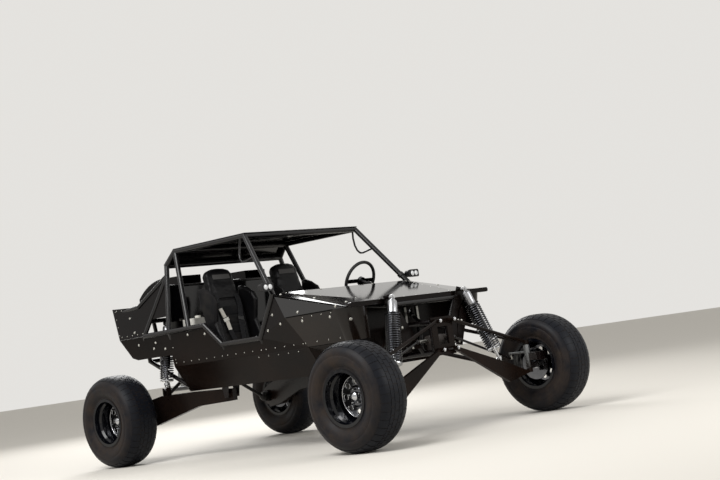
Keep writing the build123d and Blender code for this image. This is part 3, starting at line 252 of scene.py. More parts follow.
def tyre_rubber():
    made, tree = material("tyre_rubber")
    place = add(tree, "TexCoord").outputs["Object"]
    reach = axle_distance(tree)
    groove = add(tree, "Attribute", attribute_name="groove").outputs["Fac"]
    clouds = add(tree, "TexNoise", {"Vector": place, "Scale": 7.0, "Detail": 6, "Roughness": 0.65})
    uneven = add(tree, "MapRange", {0: clouds, 1: 0.35, 2: 0.7, 3: 0.1, 4: 1.0})
    # More brown on the side wall: dust, and also a painted reflection of sand.
    side = add(tree, "MapRange", {0: reach, 1: 0.30, 2: 0.38, 3: 0.24, 4: 0.02})
    most = add(tree, "Math", {0: groove, 1: 0.45, 2: side}, operation="MULTIPLY_ADD")
    share = add(tree, "Math", {0: most, 1: uneven}, operation="MULTIPLY")
    # The blue tint of the rubber is a painted reflection of the sky.
    skin = add(tree, "Mix", {0: share, 6: tone("#0d1017"), 7: tone("#544536")}, data_type="RGBA").outputs[2]
    dull = add(tree, "MapRange", {0: share, 1: 0.0, 2: 0.4, 3: 0.42, 4: 0.8})
    rings = add(tree, "Math", {0: reach, 1: 1500.0}, operation="MULTIPLY")
    rings = add(tree, "Math", {0: rings}, operation="SINE")
    grain = add(tree, "TexNoise", {"Vector": place, "Scale": 700.0, "Detail": 2})
    skin_height = add(tree, "Math", {0: rings, 1: 0.12, 2: grain}, operation="MULTIPLY_ADD")
    bump = add(tree, "Bump", {"Height": skin_height, "Strength": 0.35, "Distance": 0.0004})
    finish_surface(tree, {"Base Color": skin, "Roughness": dull, "Normal": bump, "Specular IOR Level": 0.15})
    return made


WHEEL_PAINT = wheel_paint()
TYRE_RUBBER = tyre_rubber()

# %% Give each node of the frame its finish
FINISHES = {
    POWDER_COAT: ("lower_frame", "cabin_frame", "rear_frame", "nose_frame", "pillar_loops", "seat_rails",
                  "rear_hangers", "tow_eyes", "steering_column", "knuckle_left", "knuckle_right",
                  "rack_and_tie_rods"),
    GLOSS_SHEET: ("hood", "roof_panel", "rear_wall"),
    COWL_SHEET: ("cowl_panels",),
    FLANK_SHEET: ("wing_panels",),
    SATIN_SHEET: ("side_panels", "quarter_panels", "footwell_panels", "floor_pan", "front_wall", "dash",
                  "deck", "air_scoops", "nose_brackets", "front_arms", "trailing_arms"),
    CAST_ALLOY: ("transaxle",),
    DARK_CAST: ("engine", "half_shafts"),
    BELLOWS: ("rack_housing",),
    WHITE_TANK: ("coolant_tank",),
    LAMP_SHELL: ("lamps",),
    GRIP_RUBBER: ("steering_wheel",),
    WHEEL_PAINT: ("rim_front_left", "rim_front_right", "rim_rear_left", "rim_rear_right"),
}
for finish, names in FINISHES.items():
    for name in names:
        wear(nodes[name], finish)


def second_finish(name, made, wanted):
    """Gives the faces of a node a finish of their own where their middle and normal pass the test."""
    mesh = nodes[name].data
    mesh.materials.append(made)
    for face in mesh.polygons:
        if wanted(face.center, face.normal):
            face.material_index = len(mesh.materials) - 1


HAND_WHEEL, GRIP_INSIDE = Vector((0.275, 0.39, 1.305)), 0.148
WALL_FACE_X, TANK_FOOT_Z = 1.0474, 0.9655
TIE_ROD_EYES, RACK_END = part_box("rack_and_tie_rods")[1][1] - 0.060, 0.2
UPRIGHT_IN, UPRIGHT_END = 0.95, 0.1
LIP_SLOPE, FACET_SLOPE = 0.5, 0.08
# The raised stiffeners on the front wall's face are bright zinc, and their paleness is also a painted
# highlight of the sky on them.
second_finish("front_wall", ZINC_STEEL, lambda spot, normal: spot.x > WALL_FACE_X)
second_finish("steering_wheel", DARK_CHROME, lambda spot, normal: (spot - HAND_WHEEL).length < GRIP_INSIDE)
second_finish("coolant_tank", POWDER_COAT, lambda spot, normal: spot.z < TANK_FOOT_Z)
# The hood's lip and bent sides wear the duller satin paint, and its outer facets the stronger-mirroring cowl
# lacquer: shaded and lit copies of one sheet's paint, a painted shade and a painted reflection of the sky.
second_finish("hood", SATIN_SHEET, lambda spot, normal: normal.z < LIP_SLOPE)
second_finish("hood", COWL_SHEET, lambda spot, normal: normal.z >= LIP_SLOPE and abs(normal.y) > FACET_SLOPE)
second_finish("rack_and_tie_rods", ZINC_STEEL,
              lambda spot, normal: not RACK_END <= abs(spot.y) <= TIE_ROD_EYES)
for name in ("knuckle_right", "knuckle_left"):
    second_finish(name, CAST_ALLOY,
                  lambda spot, normal: abs(spot.y) < UPRIGHT_IN and abs(spot.z - AXLE_Z) > UPRIGHT_END)
print(len(FINISHES), "finishes given to the frame")

# %% [markdown]
# ## Working by hand, in code
# Each new piece starts from a primitive and is shaped by the operators that a modeller uses: extrude, resize,
# inset, bevel, bridge. An operator acts on whatever is selected, so these helpers clear the selection first,
# and pick faces by a test on their place. A finished piece keeps its object at the origin, with its place in
# its mesh.

# %% Helpers for modelling
def only(piece):
    """Selects one object alone and makes it active."""
    bpy.ops.object.select_all(action="DESELECT")
    piece.select_set(True)
    bpy.context.view_layer.objects.active = piece


def begin(name, primitive, **settings):
    """Adds a primitive with nothing else selected, and names it."""
    bpy.ops.object.select_all(action="DESELECT")
    getattr(bpy.ops.mesh, f"primitive_{primitive}_add")(**settings)
    piece = bpy.context.object
    piece.name = name
    return piece


def pick(piece, wanted, kind="faces"):
    """Enters edit mode with the wanted faces or edges selected."""
    only(piece)
    bpy.ops.object.mode_set(mode="EDIT")
    bpy.ops.mesh.select_mode(type="FACE" if kind == "faces" else "EDGE")
    bpy.ops.mesh.select_all(action="DESELECT")
    mesh = bmesh.from_edit_mesh(piece.data)
    for element in getattr(mesh, kind):
        if wanted(element):
            element.select_set(True)
    mesh.select_flush_mode()
    bmesh.update_edit_mesh(piece.data)


def leave():
    bpy.ops.object.mode_set(mode="OBJECT")


def place(piece, shift=(0, 0, 0), turn=None):
    """Moves the mesh itself, so that the object stays at the origin."""
    piece.data.transform(piece.matrix_world)
    piece.matrix_world = Matrix()
    piece.data.transform(Matrix.Translation(shift) @ (turn.to_4x4() if turn else Matrix()))
    return piece


def copied(piece, name, shift=(0, 0, 0), turn=None):
    """A copy with its own mesh, put in its place."""
    twin = piece.copy()
    twin.data = piece.data.copy()
    twin.name = name
    bpy.context.scene.collection.objects.link(twin)
    return place(twin, shift, turn)


def reflected(piece, name):
    """A copy on the other side of the car, with its faces turned the right way out again."""
    twin = copied(piece, name)
    twin.data.transform(Matrix.Scale(-1, 4, (0, 1, 0)))
    twin.data.flip_normals()
    return twin


def joined(name, parts):
    """Joins pieces into the first of them."""
    bpy.ops.object.select_all(action="DESELECT")
    for part in parts:
        part.select_set(True)
    bpy.context.view_layer.objects.active = parts[0]
    if len(parts) > 1:
        bpy.ops.object.join()
    parts[0].name = name
    return parts[0]


def applied(piece):
    """Applies every modifier of a piece."""
    only(piece)
    for modifier in list(piece.modifiers):
        bpy.ops.object.modifier_apply(modifier=modifier.name)
    return piece


def sized(piece, size):
    """Scales a piece of size 1 to its real size."""
    piece.scale = size
    bpy.ops.object.transform_apply(scale=True)
    return piece


def finished(piece, with_material, angle):
    """Applies the modifiers, smooths what is round and gives the piece its material."""
    applied(piece)
    bpy.ops.object.transform_apply(location=True, rotation=True, scale=True)
    bpy.ops.object.shade_smooth_by_angle(angle=math.radians(angle))
    wear(piece, with_material)
    return piece


def attach(piece, body="chassis", replaced=None):
    """Hangs a piece on a body, and hides the node of the frame that it stands for."""
    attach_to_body(piece, body)
    if replaced:
        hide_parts(replaced)


def attach_pair(piece, replaced=None):
    """Attaches a piece of the left side and its mirror image on the right. Both are returned."""
    pair = (piece, reflected(piece, piece.name.replace("left", "right")))
    for one in pair:
        attach(one, replaced=replaced)
    return pair


def outward(piece):
    """Merges doubles and turns every face outward."""
    pick(piece, lambda face: True)
    bpy.ops.mesh.remove_doubles(threshold=1e-5)
    bpy.ops.mesh.normals_make_consistent(inside=False)
    leave()


def slab(name, outline, low, high):
    """A flat outline of (x, y) points, extruded in Z from low to high."""
    piece = begin(name, "circle", vertices=len(outline), radius=1, fill_type="NGON")
    for vertex, (x, y) in zip(piece.data.vertices, outline):
        vertex.co = (x, y, low)
    pick(piece, lambda face: True)
    bpy.ops.mesh.extrude_region_move(TRANSFORM_OT_translate={"value": (0, 0, high - low)})
    leave()
    outward(piece)
    return piece


def frame_of(origin, along_u, along_v):
    """A matrix that lays (u, v, w) on two directions and their normal."""
    u, v = Vector(along_u).normalized(), Vector(along_v).normalized()
    return Matrix.Translation(origin) @ Matrix((u, v, u.cross(v))).transposed().to_4x4()


def arc(start, middle, end, count):
    """Points along the circle through three points of a profile, without the first."""
    (ax, ay), (bx, by), (cx, cy) = start, middle, end
    a, b, c = ax * ax + ay * ay, bx * bx + by * by, cx * cx + cy * cy
    d = 2 * (ax * (by - cy) + bx * (cy - ay) + cx * (ay - by))
    ux = (a * (by - cy) + b * (cy - ay) + c * (ay - by)) / d
    uy = (a * (cx - bx) + b * (ax - cx) + c * (bx - ax)) / d
    first = math.atan2(ay - uy, ax - ux)
    half, whole = [(math.atan2(y - uy, x - ux) - first) % (2 * math.pi) for x, y in (middle, end)]
    if half > whole:
        whole -= 2 * math.pi
    radius = math.hypot(ax - ux, ay - uy)
    angles = [first + whole * step / count for step in range(1, count + 1)]
    return [(ux + radius * math.cos(t), uy + radius * math.sin(t)) for t in angles]


def turned(name, profile, steps, caps=True):
    """A lathe: a ring is extruded along the Y axis and resized, a step for each (radius, y)."""
    radius, y = profile[0]
    piece = begin(name, "circle", vertices=steps, radius=radius, fill_type="NGON" if caps else "NOTHING",
                  location=(0, y, 0), rotation=(math.pi / 2, 0, 0))
    place(piece)
    pick(piece, lambda edge: True, "edges")
    for next_radius, next_y in profile[1:]:
        bpy.ops.mesh.extrude_region_move(TRANSFORM_OT_translate={"value": (0, next_y - y, 0)})
        share = next_radius / radius
        bpy.ops.transform.resize(value=(share, 1, share), center_override=(0, next_y, 0))
        radius, y = next_radius, next_y
    leave()
    outward(piece)
    return piece


def along(name, profile, steps, start, end):
    """A turned piece whose Y axis is laid along the line from start to end."""
    turn = Vector((0, 1, 0)).rotation_difference(Vector(end) - Vector(start)).to_matrix()
    return place(turned(name, profile, steps), start, turn)


def ring_of(piece, count, radius, first=0.0):
    """Copies of a piece round the Y axis, joined into one."""
    parts = []
    for step in range(count):
        angle = first + 2 * math.pi * step / count
        parts.append(copied(piece, "part", (radius * math.cos(angle), 0, radius * math.sin(angle))))
    bpy.data.objects.remove(piece)
    return joined("ring", parts)


# %% [markdown]
# ## Tyres
# A sand tyre is a balloon: tall rounded sides, and a crown with a shallow tread that does not dig in. The
# carcass is turned like a pot on a wheel. Then the faces of the tread are picked, column by column with a
# stagger, and raised together, so that every groove keeps the carcass as its floor. A shallow groove runs
# round each side wall. One tyre is modelled, and copied to the four wheels.

# %% Tyre
TYRE_R, BEAD_R = 0.400, 0.2
TREAD_DEPTH = 0.0032
CROWN_R = TYRE_R - TREAD_DEPTH
TYRE_STEPS, TREAD_PITCH = 320, 8
TREAD_FOOT_R, CROWN_EDGE_R = 0.366, 0.392
COLUMNS = (0.0205, 0.0245, 0.0560, 0.0600)
FRONT_Y, REAR_Y = 1.100, 0.995
WHEELS = {
    "front_right": (AXLE_X, -FRONT_Y), "front_left": (AXLE_X, FRONT_Y),
    "rear_right": (-AXLE_X, -REAR_Y), "rear_left": (-AXLE_X, REAR_Y),
}


def tyre_side():
    """The profile of one side, from the bead up to the crown, as (radius, y)."""
    points = [(BEAD_R, 0.1200), (0.2060, 0.1270), (0.2240, 0.1285)]
    points += arc((0.2240, 0.1285), (0.2620, 0.1555), (0.3040, 0.1600), 5)
    points += [(0.3060, 0.1588), (0.3140, 0.1588), (0.3160, 0.1594)]
    points += arc((0.3160, 0.1594), (0.3360, 0.1550), (0.3540, 0.1440), 3)
    points += arc((0.3540, 0.1440), (0.3820, 0.1080), (CROWN_R - 0.0015, COLUMNS[3]), 5)
    points += [(CROWN_R - 0.0010, COLUMNS[2]), (CROWN_R, COLUMNS[1]), (CROWN_R, COLUMNS[0])]
    return points


def is_tread(face):
    """True on the faces of the carcass that are raised as tread."""
    middle = face.calc_center_median()
    across = abs(middle.y)
    if math.hypot(middle.x, middle.z) < TREAD_FOOT_R:
        return False
    step = math.floor(math.degrees(math.atan2(middle.z, middle.x)) / 360 * TYRE_STEPS) % TYRE_STEPS
    if COLUMNS[0] < across < COLUMNS[1] or COLUMNS[2] < across < COLUMNS[3]:
        return False
    stagger = TREAD_PITCH // 2 if COLUMNS[1] < across < COLUMNS[2] else 0
    return (step + stagger) % TREAD_PITCH != 0


side = tyre_side()
tyre = turned("tyre", side + [(r, -y) for r, y in reversed(side)] + side[:1], TYRE_STEPS, caps=False)
pick(tyre, is_tread)
bpy.ops.mesh.extrude_region_shrink_fatten(TRANSFORM_OT_shrink_fatten={"value": TREAD_DEPTH})
leave()
groove = tyre.data.attributes.new("groove", "FLOAT", "POINT")
for vertex, value in zip(tyre.data.vertices, groove.data):
    reach = math.hypot(vertex.co.x, vertex.co.z)
    if reach > TYRE_R:
        vertex.co.x, vertex.co.z = vertex.co.x * TYRE_R / reach, vertex.co.z * TYRE_R / reach
    in_groove = 0.5 if reach > CROWN_EDGE_R else 0.2
    value.value = 0.0 if vertex.select else in_groove
finished(tyre, TYRE_RUBBER, 30)


def to_wheels(piece, name, replaced=None):
    """Copies a piece that was modelled round the Y axis, outer side to +Y, to the four wheels."""
    for wheel, (x, y) in WHEELS.items():
        turn = Matrix.Rotation(math.pi, 3, "Z") if y < 0 else None
        twin = copied(piece, f"{name}_{wheel}", (x, y, AXLE_Z), turn)
        attach(twin, "wheel_" + wheel, replaced and f"{replaced}_{wheel}")
    bpy.data.objects.remove(piece)


print("tyre faces:", len(tyre.data.polygons))
to_wheels(tyre, "sand_tyre", "tyre")

# %% [markdown]
# ## Bright parts of the wheels
# The wheel's disc lies deep in its barrel. Bright metal marks it out: a rolled ring where the two meet, a
# bead round each hole, a circle of small bolts, and five nuts round the hub. A nut is a hexagon with a
# rounded end; a bolt is a low dome on a washer.

# %% Nuts, bolts and rings
DISC_FACE, HUB_FACE = -0.0075, 0.0015
EDGE_RING_R, HOLE_R, HOLES_AT, NUTS_AT, BOLTS_AT = 0.1495, 0.0222, 0.112, 0.0515, 0.1400
ring = begin("edge_ring", "torus", major_radius=EDGE_RING_R, minor_radius=0.0032, major_segments=96,
             minor_segments=10, location=(0, DISC_FACE + 0.001, 0), rotation=(math.pi / 2, 0, 0))
place(ring)
bead = begin("bead", "torus", major_radius=HOLE_R, minor_radius=0.0024, major_segments=28, minor_segments=8,
             location=(0, DISC_FACE, 0), rotation=(math.pi / 2, 0, 0))
beads = ring_of(place(bead), 8, HOLES_AT)
nut = turned("nut", [(0.0105, HUB_FACE), (0.0105, HUB_FACE + 0.010), (0.0088, HUB_FACE + 0.013),
                     (0.0068, HUB_FACE + 0.020), (0.0040, HUB_FACE + 0.023)], 6)
nuts = ring_of(nut, 5, NUTS_AT, 0.3)
bolt = turned("bolt", [(0.0062, DISC_FACE), (0.0062, DISC_FACE + 0.0015), (0.0045, DISC_FACE + 0.0017),
                       (0.0043, DISC_FACE + 0.0045), (0.0028, DISC_FACE + 0.0062)], 12)
bolts = ring_of(bolt, 16, BOLTS_AT, 0.2)
bright = finished(joined("wheel_trim", [ring, beads, nuts, bolts]), POLISHED, 40)
to_wheels(bright, "wheel_trim")
print("wheel trim on", len(WHEELS), "wheels")

# %% [markdown]
# ## Coil-over shocks
# Each shock is a satin body above and a polished rod below. A tall coil spring of wire 11 mm thick stands
# round a black sleeve, so that the gaps between its turns stay dark. The coil is a small circle drawn round
# the shock's axis by a Screw modifier, about 19 mm up per turn. A cup holds each end of the spring. The eyes
# at both ends turn on bolts that lie along the car.

# %% Coil-overs
WIRE, COIL_R, COIL_PITCH = 0.0055, 0.0563, 0.0195
CUP_R, CUP_LIP, ROD_R, SLEEVE_R, BODY_R, NECK = 0.0605, 0.052, 0.0135, 0.031, 0.038, 0.034
# Low eye, top eye, length of the bare body, and height of the spring's foot above the low eye
SHOCKS = {
    "front": ((1.500, 0.630, 0.446), (1.395, 0.420, 1.082), 0.112, 0.150),
    "rear": ((-1.215, 0.6941, 0.612), (-1.210, 0.600, 1.196), 0.060, 0.085),
}


def coil(name, low, high, turns):
    """A coil spring round the Y axis, with both ends of the wire closed."""
    piece = begin(name, "circle", vertices=10, radius=WIRE, fill_type="NOTHING", location=(COIL_R, low, 0))
    place(piece)
    screw = piece.modifiers.new("coil", "SCREW")
    screw.axis, screw.angle, screw.iterations = "Y", 2 * math.pi, turns
    screw.screw_offset = (high - low) / turns
    screw.steps = screw.render_steps = 28
    applied(piece)
    pick(piece, lambda edge: edge.is_boundary, "edges")
    bpy.ops.mesh.fill_holes(sides=0)
    leave()
    outward(piece)
    return piece


def shock_eye(spot):
    """The eye and its bolt, along X."""
    x, y, z = spot
    eye = [(0.017, 0), (0.020, 0.003), (0.020, 0.031), (0.017, 0.034)]
    head = [(0.013, 0), (0.013, 0.007), (0.010, 0.010)]
    return [along("eye", eye, 32, (x - 0.017, y, z), (x + 0.017, y, z)),
            along("eye_bolt", head, 6, (x + 0.0172, y, z), (x + 0.04, y, z))]


def shock(name, low, top, body_long, spring_low):
    """One shock with its spring, between the middles of its eyes."""
    long = (top - low).length
    spring_high = long - NECK - body_long
    turns = round((spring_high - spring_low) / COIL_PITCH)
    rod = [(0.010, 0.012), (0.017, 0.022), (0.017, 0.034), (0.024, 0.040), (0.024, 0.056), (ROD_R, 0.060),
           (ROD_R, spring_low - 0.016), (CUP_LIP, spring_low - 0.016), (CUP_R, spring_low - 0.012),
           (CUP_R, spring_low - 0.004), (CUP_LIP, spring_low - 0.004), (0.0125, spring_low - 0.003),
           (0.0125, spring_low + 0.110)]
    sleeve = [(0.029, spring_low + 0.110), (SLEEVE_R, spring_low + 0.113), (SLEEVE_R, spring_high + 0.002),
              (CUP_R, spring_high + 0.002), (CUP_R, spring_high + 0.008), (0.042, spring_high + 0.012)]
    body = [(0.036, spring_high + 0.0125), (BODY_R, spring_high + 0.014), (BODY_R, long - 0.044),
            (0.0355, long - 0.040), (0.0355, long - NECK), (0.024, long - 0.026), (0.016, long - 0.018),
            (0.016, long - 0.006)]
    turn = Vector((0, 1, 0)).rotation_difference(top - low).to_matrix()
    ends = [along("rod", rod, 40, low, top)] + shock_eye(low) + shock_eye(top)
    ends = finished(joined("shock_" + name, ends), POLISHED, 40)
    body = finished(along("shock_body_" + name, body, 48, low, top), SATIN_ALLOY, 40)
    spring = place(coil("spring_" + name, spring_low + 0.003, spring_high - 0.005, turns), low, turn)
    spring = finished(spring, SPRING_STEEL, 60)
    sleeve = finished(along("sleeve_" + name, sleeve, 40, low, top), BLACK_ENAMEL, 60)
    for piece, slot in ((ends, "bright_steel"), (body, "bright_steel"), (spring, "dark_steel"),
                        (sleeve, "dark_steel")):
        attach(piece, replaced="coilovers")


for end, (foot, head, body_long, spring_low) in SHOCKS.items():
    for side, sign in (("right", -1), ("left", 1)):
        low, top = (Vector((x, sign * y, z)) for x, y, z in (foot, head))
        shock(f"{end}_{side}", low, top, body_long, spring_low)
print("shocks:", 2 * len(SHOCKS))

# %% [markdown]
# ## Seats
# A bucket seat is soft shapes sewn together: a tall back with a narrow head, a cushion, and pads at the
# shoulders and the thighs. Each starts as a flat outline that is extruded and remeshed into small even faces.
# Then the cloth simulation blows it up a little, like foam that fills its cover. A cap on how far any point
# may move keeps each pad inside the space that it has. Seams and sewn channels are pressed in afterwards.

# %% Pads
SEAT_X, SEAT_Y, SEAT_Z, LEAN = -0.475, 0.385, 0.735, math.radians(12)
ACROSS, UP_BACK = (0, 1, 0), (-math.sin(LEAN), 0, math.cos(LEAN))
BACK_FRAME = frame_of((SEAT_X, SEAT_Y, SEAT_Z), ACROSS, UP_BACK)
PAD_CAP = 0.010


def inflate(piece, pressure):
    """Cloth simulation with air inside, with no point moved further than PAD_CAP."""
    before = [vertex.co.copy() for vertex in piece.data.vertices]
    only(piece)
    cloth = piece.modifiers.new("cloth", "CLOTH")
    cloth.settings.use_pressure = True
    cloth.settings.uniform_pressure_force = pressure
    cloth.settings.effector_weights.gravity = 0
    cloth.settings.tension_stiffness = cloth.settings.compression_stiffness = 30
    for frame_number in range(1, 21):
        bpy.context.scene.frame_set(frame_number)
    bpy.ops.object.modifier_apply(modifier=cloth.name)
    bpy.context.scene.frame_set(1)
    for vertex, old in zip(piece.data.vertices, before):
        move = vertex.co - old
        if move.length > PAD_CAP:
            vertex.co = old + move.normalized() * PAD_CAP


def pad(name, outline, low_w, high_w, edge, voxel, pressure=4.0):
    """A stuffed pad from a flat outline in (u, v), between two heights in w."""
    piece = slab(name, outline, low_w, high_w)
    pick(piece, lambda one: True, "edges")
    bpy.ops.mesh.bevel(offset=edge, segments=3, profile=0.6)
    leave()
    remesh = piece.modifiers.new("remesh", "REMESH")
    remesh.mode, remesh.voxel_size = "VOXEL", voxel
    applied(piece)
    inflate(piece, pressure)
    rounder = piece.modifiers.new("round", "SUBSURF")
    rounder.levels = rounder.render_levels = 1
    return applied(piece)


def press(piece, lines, depth, width):
    """Presses sewn channels into the front of a pad. A line is (u1, v1, u2, v2)."""
    facing = [vertex.normal.z for vertex in piece.data.vertices]
    for vertex, ahead in zip(piece.data.vertices, facing):
        if ahead < 0.3:
            continue
        spot = Vector((vertex.co.x, vertex.co.y))
        for u1, v1, u2, v2 in lines:
            start, run = Vector((u1, v1)), Vector((u2 - u1, v2 - v1))
            share = max(0.0, min(1.0, (spot - start).dot(run) / run.length_squared))
            gap = (spot - start - run * share).length
            vertex.co.z -= depth * math.exp(-((gap / width) ** 2))


def crumple(piece, height):
    """Shallow wrinkles, longer across the pad than along it."""
    normals = [vertex.normal.copy() for vertex in piece.data.vertices]
    for vertex, normal in zip(piece.data.vertices, normals):
        spot = vertex.co
        fold = noise.noise(Vector((spot.x * 6, spot.y * 22, spot.z * 6)))
        fine = noise.noise(Vector((spot.x * 25, spot.y * 45, 7.0)))
        vertex.co = spot + normal * (height * (fold + 0.35 * fine))


# %% [markdown]
# The smooth parts of the seat are black vinyl with a fine leather grain. The middle of the back and of the
# cushion is a duller cloth with an open weave of about 2 mm, which an attribute on the mesh marks. The weave
# is drawn at 4 mm, because a finer one would not show. A sine repeats every 2 pi, so a rate of 1570 a metre
# makes 4 mm. The rate of the straps' ribs makes 3 mm.

# %% Vinyl and cloth
WEAVE_RATE, RIB_RATE = 1570.0, 2090.0


def seat_cover():
    made, tree = material("black_vinyl_and_mesh_cloth")
    place = add(tree, "TexCoord").outputs["Object"]
    cloth = add(tree, "Attribute", attribute_name="cloth").outputs["Fac"]
    pores = add(tree, "TexVoronoi", {"Vector": place, "Scale": 700.0})
    spot = add(tree, "SeparateXYZ", {0: place})
    threads = []
    for axis in ("Y", "Z"):
        phase = add(tree, "Math", {0: spot.outputs[axis], 1: WEAVE_RATE}, operation="MULTIPLY")
        threads.append(add(tree, "Math", {0: phase}, operation="SINE"))
    weave = add(tree, "Math", {0: threads[0], 1: threads[1]}, operation="MULTIPLY")
    height = add(tree, "Mix", {0: cloth, 2: pores, 3: weave})
    rubbed = add(tree, "TexNoise", {"Vector": place, "Scale": 9.0, "Detail": 4})
    worn = add(tree, "MapRange", {0: rubbed, 1: 0.42, 2: 0.7, 3: 0.0, 4: 1.0})
    vinyl = add(tree, "Mix", {0: worn, 6: tone("#08080a"), 7: tone("#121112")}, data_type="RGBA").outputs[2]
    fabric = add(tree, "Mix", {0: worn, 6: tone("#0f0f11"), 7: tone("#1f1d1c")}, data_type="RGBA").outputs[2]
    skin = add(tree, "Mix", {0: cloth, 6: vinyl, 7: fabric}, data_type="RGBA").outputs[2]
    dull = add(tree, "Mix", {0: cloth, 2: 0.38, 3: 0.85})
    bump = add(tree, "Bump", {"Height": height, "Strength": 0.35, "Distance": 0.0006})
    finish_surface(tree, {"Base Color": skin, "Roughness": dull, "Normal": bump, "Specular IOR Level": 0.16,
                          "Sheen Weight": 0.02})
    return made


SEAT_COVER = seat_cover()


def mark_cloth(piece, wanted, front=1):
    """Marks the points of a pad that are covered in cloth. front is 1 for the side at high w, else -1."""
    found = [wanted(vertex.co) and vertex.normal.z * front > 0.2 for vertex in piece.data.vertices]
    marks = piece.data.attributes.new("cloth", "FLOAT", "POINT")
    marks.data.foreach_set("value", [float(is_cloth) for is_cloth in found])


# %% Back of the seat
HEAD = [(0.152, 0.780), (0.146, 0.840), (0.118, 0.878), (0.062, 0.892), (0.0, 0.895)]
RIGHT_EDGE = [(0.160, 0.008), (0.188, 0.520), (0.172, 0.600), (0.158, 0.690)]
outline = RIGHT_EDGE + HEAD + [(-u, v) for u, v in reversed(RIGHT_EDGE + HEAD[:-1])]
back = pad("seat_back", outline, -0.086, -0.010, edge=0.022, voxel=0.008)
seams = [(0.112, 0.03, 0.122, 0.52), (-0.112, 0.03, -0.122, 0.52), (-0.165, 0.60, 0.165, 0.60),
         (0.122, 0.52, 0.095, 0.585), (-0.122, 0.52, -0.095, 0.585)]
crumple(back, 0.0022)
press(back, seams, 0.008, 0.007)
press(back, [(-0.100, v, 0.100, v) for v in (0.13, 0.21, 0.29, 0.37, 0.45)], 0.005, 0.009)
mark_cloth(back, lambda spot: abs(spot.x) < 0.106 and spot.y < 0.53)
back.data.transform(BACK_FRAME)

# %% Cushion
outline = [(0.158, -0.462), (0.158, -0.008), (-0.158, -0.008), (-0.158, -0.462), (-0.090, -0.468),
           (0.090, -0.468)]
cushion = pad("seat_cushion", outline, -0.046, 0.020, edge=0.016, voxel=0.008)
press(cushion, [(0.108, -0.44, 0.108, -0.03), (-0.108, -0.44, -0.108, -0.03)], 0.007, 0.007)
press(cushion, [(-0.10, v, 0.10, v) for v in (-0.37, -0.29, -0.21, -0.13)], 0.004, 0.009)
mark_cloth(cushion, lambda spot: abs(spot.x) < 0.102)
cushion.data.transform(frame_of((SEAT_X, SEAT_Y, SEAT_Z), ACROSS, (-1, 0, 0)))

# %% Shoulder and thigh pads
WING_OUT, THIGH_OUT, HALF_PAD = 0.2203, 0.1883, 0.014
WING = [(-0.086, 0.118), (0.090, 0.118), (0.086, 0.256), (0.070, 0.380), (0.112, 0.470), (0.138, 0.540),
        (0.118, 0.616), (0.050, 0.676), (-0.020, 0.716), (-0.068, 0.720), (-0.092, 0.660), (-0.092, 0.560)]
THIGH = [(0.018, -0.048), (0.458, -0.048), (0.458, 0.046), (0.388, 0.084), (0.018, 0.064)]


def side_pad(name, outline, out, along_u, along_v, wanted, front=1):
    """A thin upright pad that stands a distance out from the middle of the left seat."""
    piece = pad(name, outline, -HALF_PAD, HALF_PAD, edge=0.008, voxel=0.006, pressure=2.0)
    mark_cloth(piece, wanted, front)
    piece.data.transform(frame_of((SEAT_X, SEAT_Y + out, SEAT_Z), along_u, along_v))
    return piece


soft = [back, cushion]
for side in (-1, 1):
    soft.append(side_pad("shoulder_pad", WING, side * WING_OUT, (math.cos(LEAN), 0, math.sin(LEAN)), UP_BACK,
                         lambda spot: spot.y > 0.40, -side))
    soft.append(side_pad("thigh_pad", THIGH, side * THIGH_OUT, (1, 0, 0), (0, 0, 1), lambda spot: False))
for index, piece in enumerate(soft):
    finished(piece, SEAT_COVER, 80)
    piece.name = f"left_{piece.name.split('.')[0]}_{index}"
    for one in attach_pair(piece, "seats"):
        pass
print("soft pieces:", 2 * len(soft), "faces in a back:", len(back.data.polygons))

# %% [markdown]
# ## Harness
# Each seat has two shoulder straps of black webbing, 48 mm wide, and two lap straps that meet in a round
# buckle. A strap is a band of faces along its path, then given a thickness. Its weave is a row of ribs across
# the strap, so it needs a map that follows it: u runs across and v along. Two plain pale patches lie on the
# outer shoulder strap. Steel adjusters sit where the straps are tightened.

# %% Webbing
def webbing():
    made, tree = material("black_polyester_webbing")
    spot = add(tree, "SeparateXYZ", {0: add(tree, "UVMap", uv_map="along")})
    ribs = add(tree, "Math", {0: spot.outputs["Y"], 1: RIB_RATE}, operation="MULTIPLY")
    ribs = add(tree, "Math", {0: ribs}, operation="SINE")
    edge = add(tree, "Math", {0: spot.outputs["X"], 1: 0.5}, operation="SUBTRACT")
    edge = add(tree, "Math", {0: edge}, operation="ABSOLUTE")
    edge = add(tree, "MapRange", {0: edge, 1: 0.40, 2: 0.46, 3: 0.0, 4: 1.0})
    skin = add(tree, "Mix", {0: edge, 6: tone("#0d0d10"), 7: tone("#1a1a1d")}, data_type="RGBA").outputs[2]
    bump = add(tree, "Bump", {"Height": ribs, "Strength": 0.4, "Distance": 0.0005})
    finish_surface(tree, {"Base Color": skin, "Roughness": 0.6, "Normal": bump, "Specular IOR Level": 0.16,
                          "Sheen Weight": 0.1})
    return made


WEBBING = webbing()
PALE_PATCH = coated("pale_bare_woven_patch", "#d8d4ca", 0.7, 1.5, 0.3, 0.05)
GREY_PATCH = coated("grey_bare_woven_label", "#4b4a49", 0.7, 1.5, 0.3, 0.05)
STRAP_THICK = 0.0025


